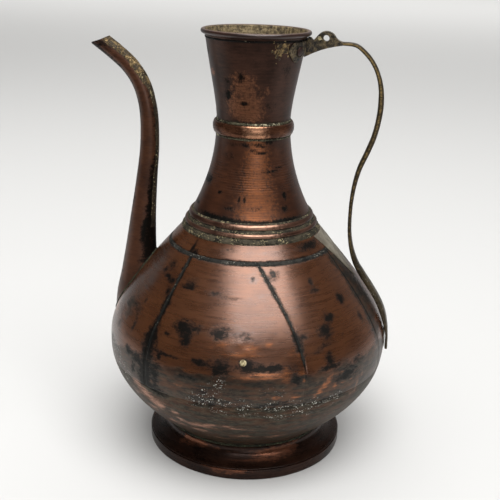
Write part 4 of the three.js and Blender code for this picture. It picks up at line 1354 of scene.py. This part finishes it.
CAMERA_DISTANCE = 0.7345
CAMERA_HEIGHT = 0.4253
CAMERA_ROUND, CAMERA_DOWN = math.radians(8.0), math.radians(18.9)
CAMERA_ROLL = 0.0309
CAMERA_LENS, SENSOR_WIDTH = 64.8, 36
FLOOR_HALF = 14
FLOOR_TONE = (0.61, 0.606, 0.595)
CARD_HALF, CARD_HEIGHT = 6, 0.002
LIGHT_AIM = 0.17
EVEN_LIGHT, EVEN_TONE = 0.14, (1, 0.995, 0.98)
DARK_ROOM, PALE_ROOM, ROOM_TONE = 0.03, 0.34, (1, 0.99, 0.97)


def add_sheet(name, cloth, half, near, far, z, colour, roughness, shine):
    """Level sheet that is scenery and no part of the jug."""
    mesh = bpy.data.meshes.new(name)
    mesh.from_pydata([(-half, near, z), (half, near, z), (half, far, z), (-half, far, z)], [], [(0, 1, 2, 3)])
    f = Finish(cloth)
    f.set(Base_Color=colour, Roughness=roughness, Specular_IOR_Level=shine)
    mesh.materials.append(f.material)
    sheet = link_object(name, mesh)
    return sheet


def add_card(name, near, far, grey):
    """Cloth on the floor, for reflections only: the room before the table is dark."""
    card = add_sheet(name, name + "_cloth", CARD_HALF, near, far, CARD_HEIGHT, (grey, grey, grey), 1.0, 0.0)
    card.visible_camera = card.visible_diffuse = card.visible_shadow = False


def add_camera():
    data = bpy.data.cameras.new("camera")
    data.sensor_width = SENSOR_WIDTH
    data.lens = CAMERA_LENS
    data.clip_start = 0.01
    camera = link_object("camera", data)
    camera.matrix_world = (
        Matrix.Translation((AXIS_X, 0, 0)) @ Matrix.Rotation(CAMERA_ROUND, 4, "Z")
        @ Matrix.Translation((0, -CAMERA_DISTANCE, CAMERA_HEIGHT))
        @ Matrix.Rotation(math.pi / 2 - CAMERA_DOWN, 4, "X") @ Matrix.Rotation(CAMERA_ROLL, 4, "Z"))
    bpy.context.scene.camera = camera


def add_area_light(name, azimuth, elevation, distance, size, power, glossy=True):
    """Soft box: azimuth 0 is on the camera's side and 90 on the handle's."""
    data = bpy.data.lights.new(name, "AREA")
    data.shape = "RECTANGLE"
    data.size, data.size_y = size
    data.energy = power
    light = link_object(name, data)
    a, e = math.radians(azimuth), math.radians(elevation)
    back = Vector((math.sin(a) * math.cos(e), -math.cos(a) * math.cos(e), math.sin(e)))
    light.location = Vector((AXIS_X, 0, LIGHT_AIM)) + back * distance
    light.rotation_mode = "QUATERNION"
    light.rotation_quaternion = back.to_track_quat("Z", "Y")
    light.visible_glossy = glossy
    return light


def add_world():
    """Even pale light for the floor; for the metal the room is dark in front and pale behind."""
    world = bpy.data.worlds.new("studio")
    world.use_nodes = True
    world.cycles.sampling_method = "NONE"
    bpy.context.scene.world = world
    world.node_tree.nodes.clear()
    n = Nodes(world.node_tree)
    way = n.node("TexCoord").outputs["Generated"]
    away = n.node("SeparateXYZ", {0: way}).outputs["Y"]
    pale = n.node("MapRange", {
        "Value": away, "From Min": 0.15, "From Max": 1.0, "To Min": DARK_ROOM, "To Max": PALE_ROOM,
    }, interpolation_type="SMOOTHSTEP").outputs["Result"]
    even = n.node("Background", {"Color": EVEN_TONE, "Strength": EVEN_LIGHT}).outputs[0]
    reflected = n.node("Background", {"Color": ROOM_TONE, "Strength": pale}).outputs[0]
    in_metal = n.node("LightPath").outputs["Is Glossy Ray"]
    mixed = n.node("MixShader", {0: in_metal, 1: even, 2: reflected}).outputs[0]
    n.node("OutputWorld", {"Surface": mixed})


add_sheet("floor", "floor_paper", FLOOR_HALF, -FLOOR_HALF, FLOOR_HALF, 0, FLOOR_TONE, 0.9, 0.1)
add_camera()
add_world()
add_card("dark_card", -8, -0.32, 0.02)
add_card("grey_card", 0.5, 8, 0.34)
add_area_light("key_light", 27, 65, 4, (3.8, 3.0), 214)
add_area_light("front_glow", 20, 8, 4, (1.8, 1.5), 15)
add_area_light("overhead_light", 180, 78, 2, (2.2, 1.6), 9)
add_area_light("ceiling_light", -70, 66, 2.2, (2.4, 2.4), 21, glossy=False)
far_light = add_area_light("far_floor_light", 180, 90, 3, (12, 6), 400, glossy=False)
far_light.location = (0, 7, 3.2)
bpy.context.scene.view_settings.view_transform = "Standard"
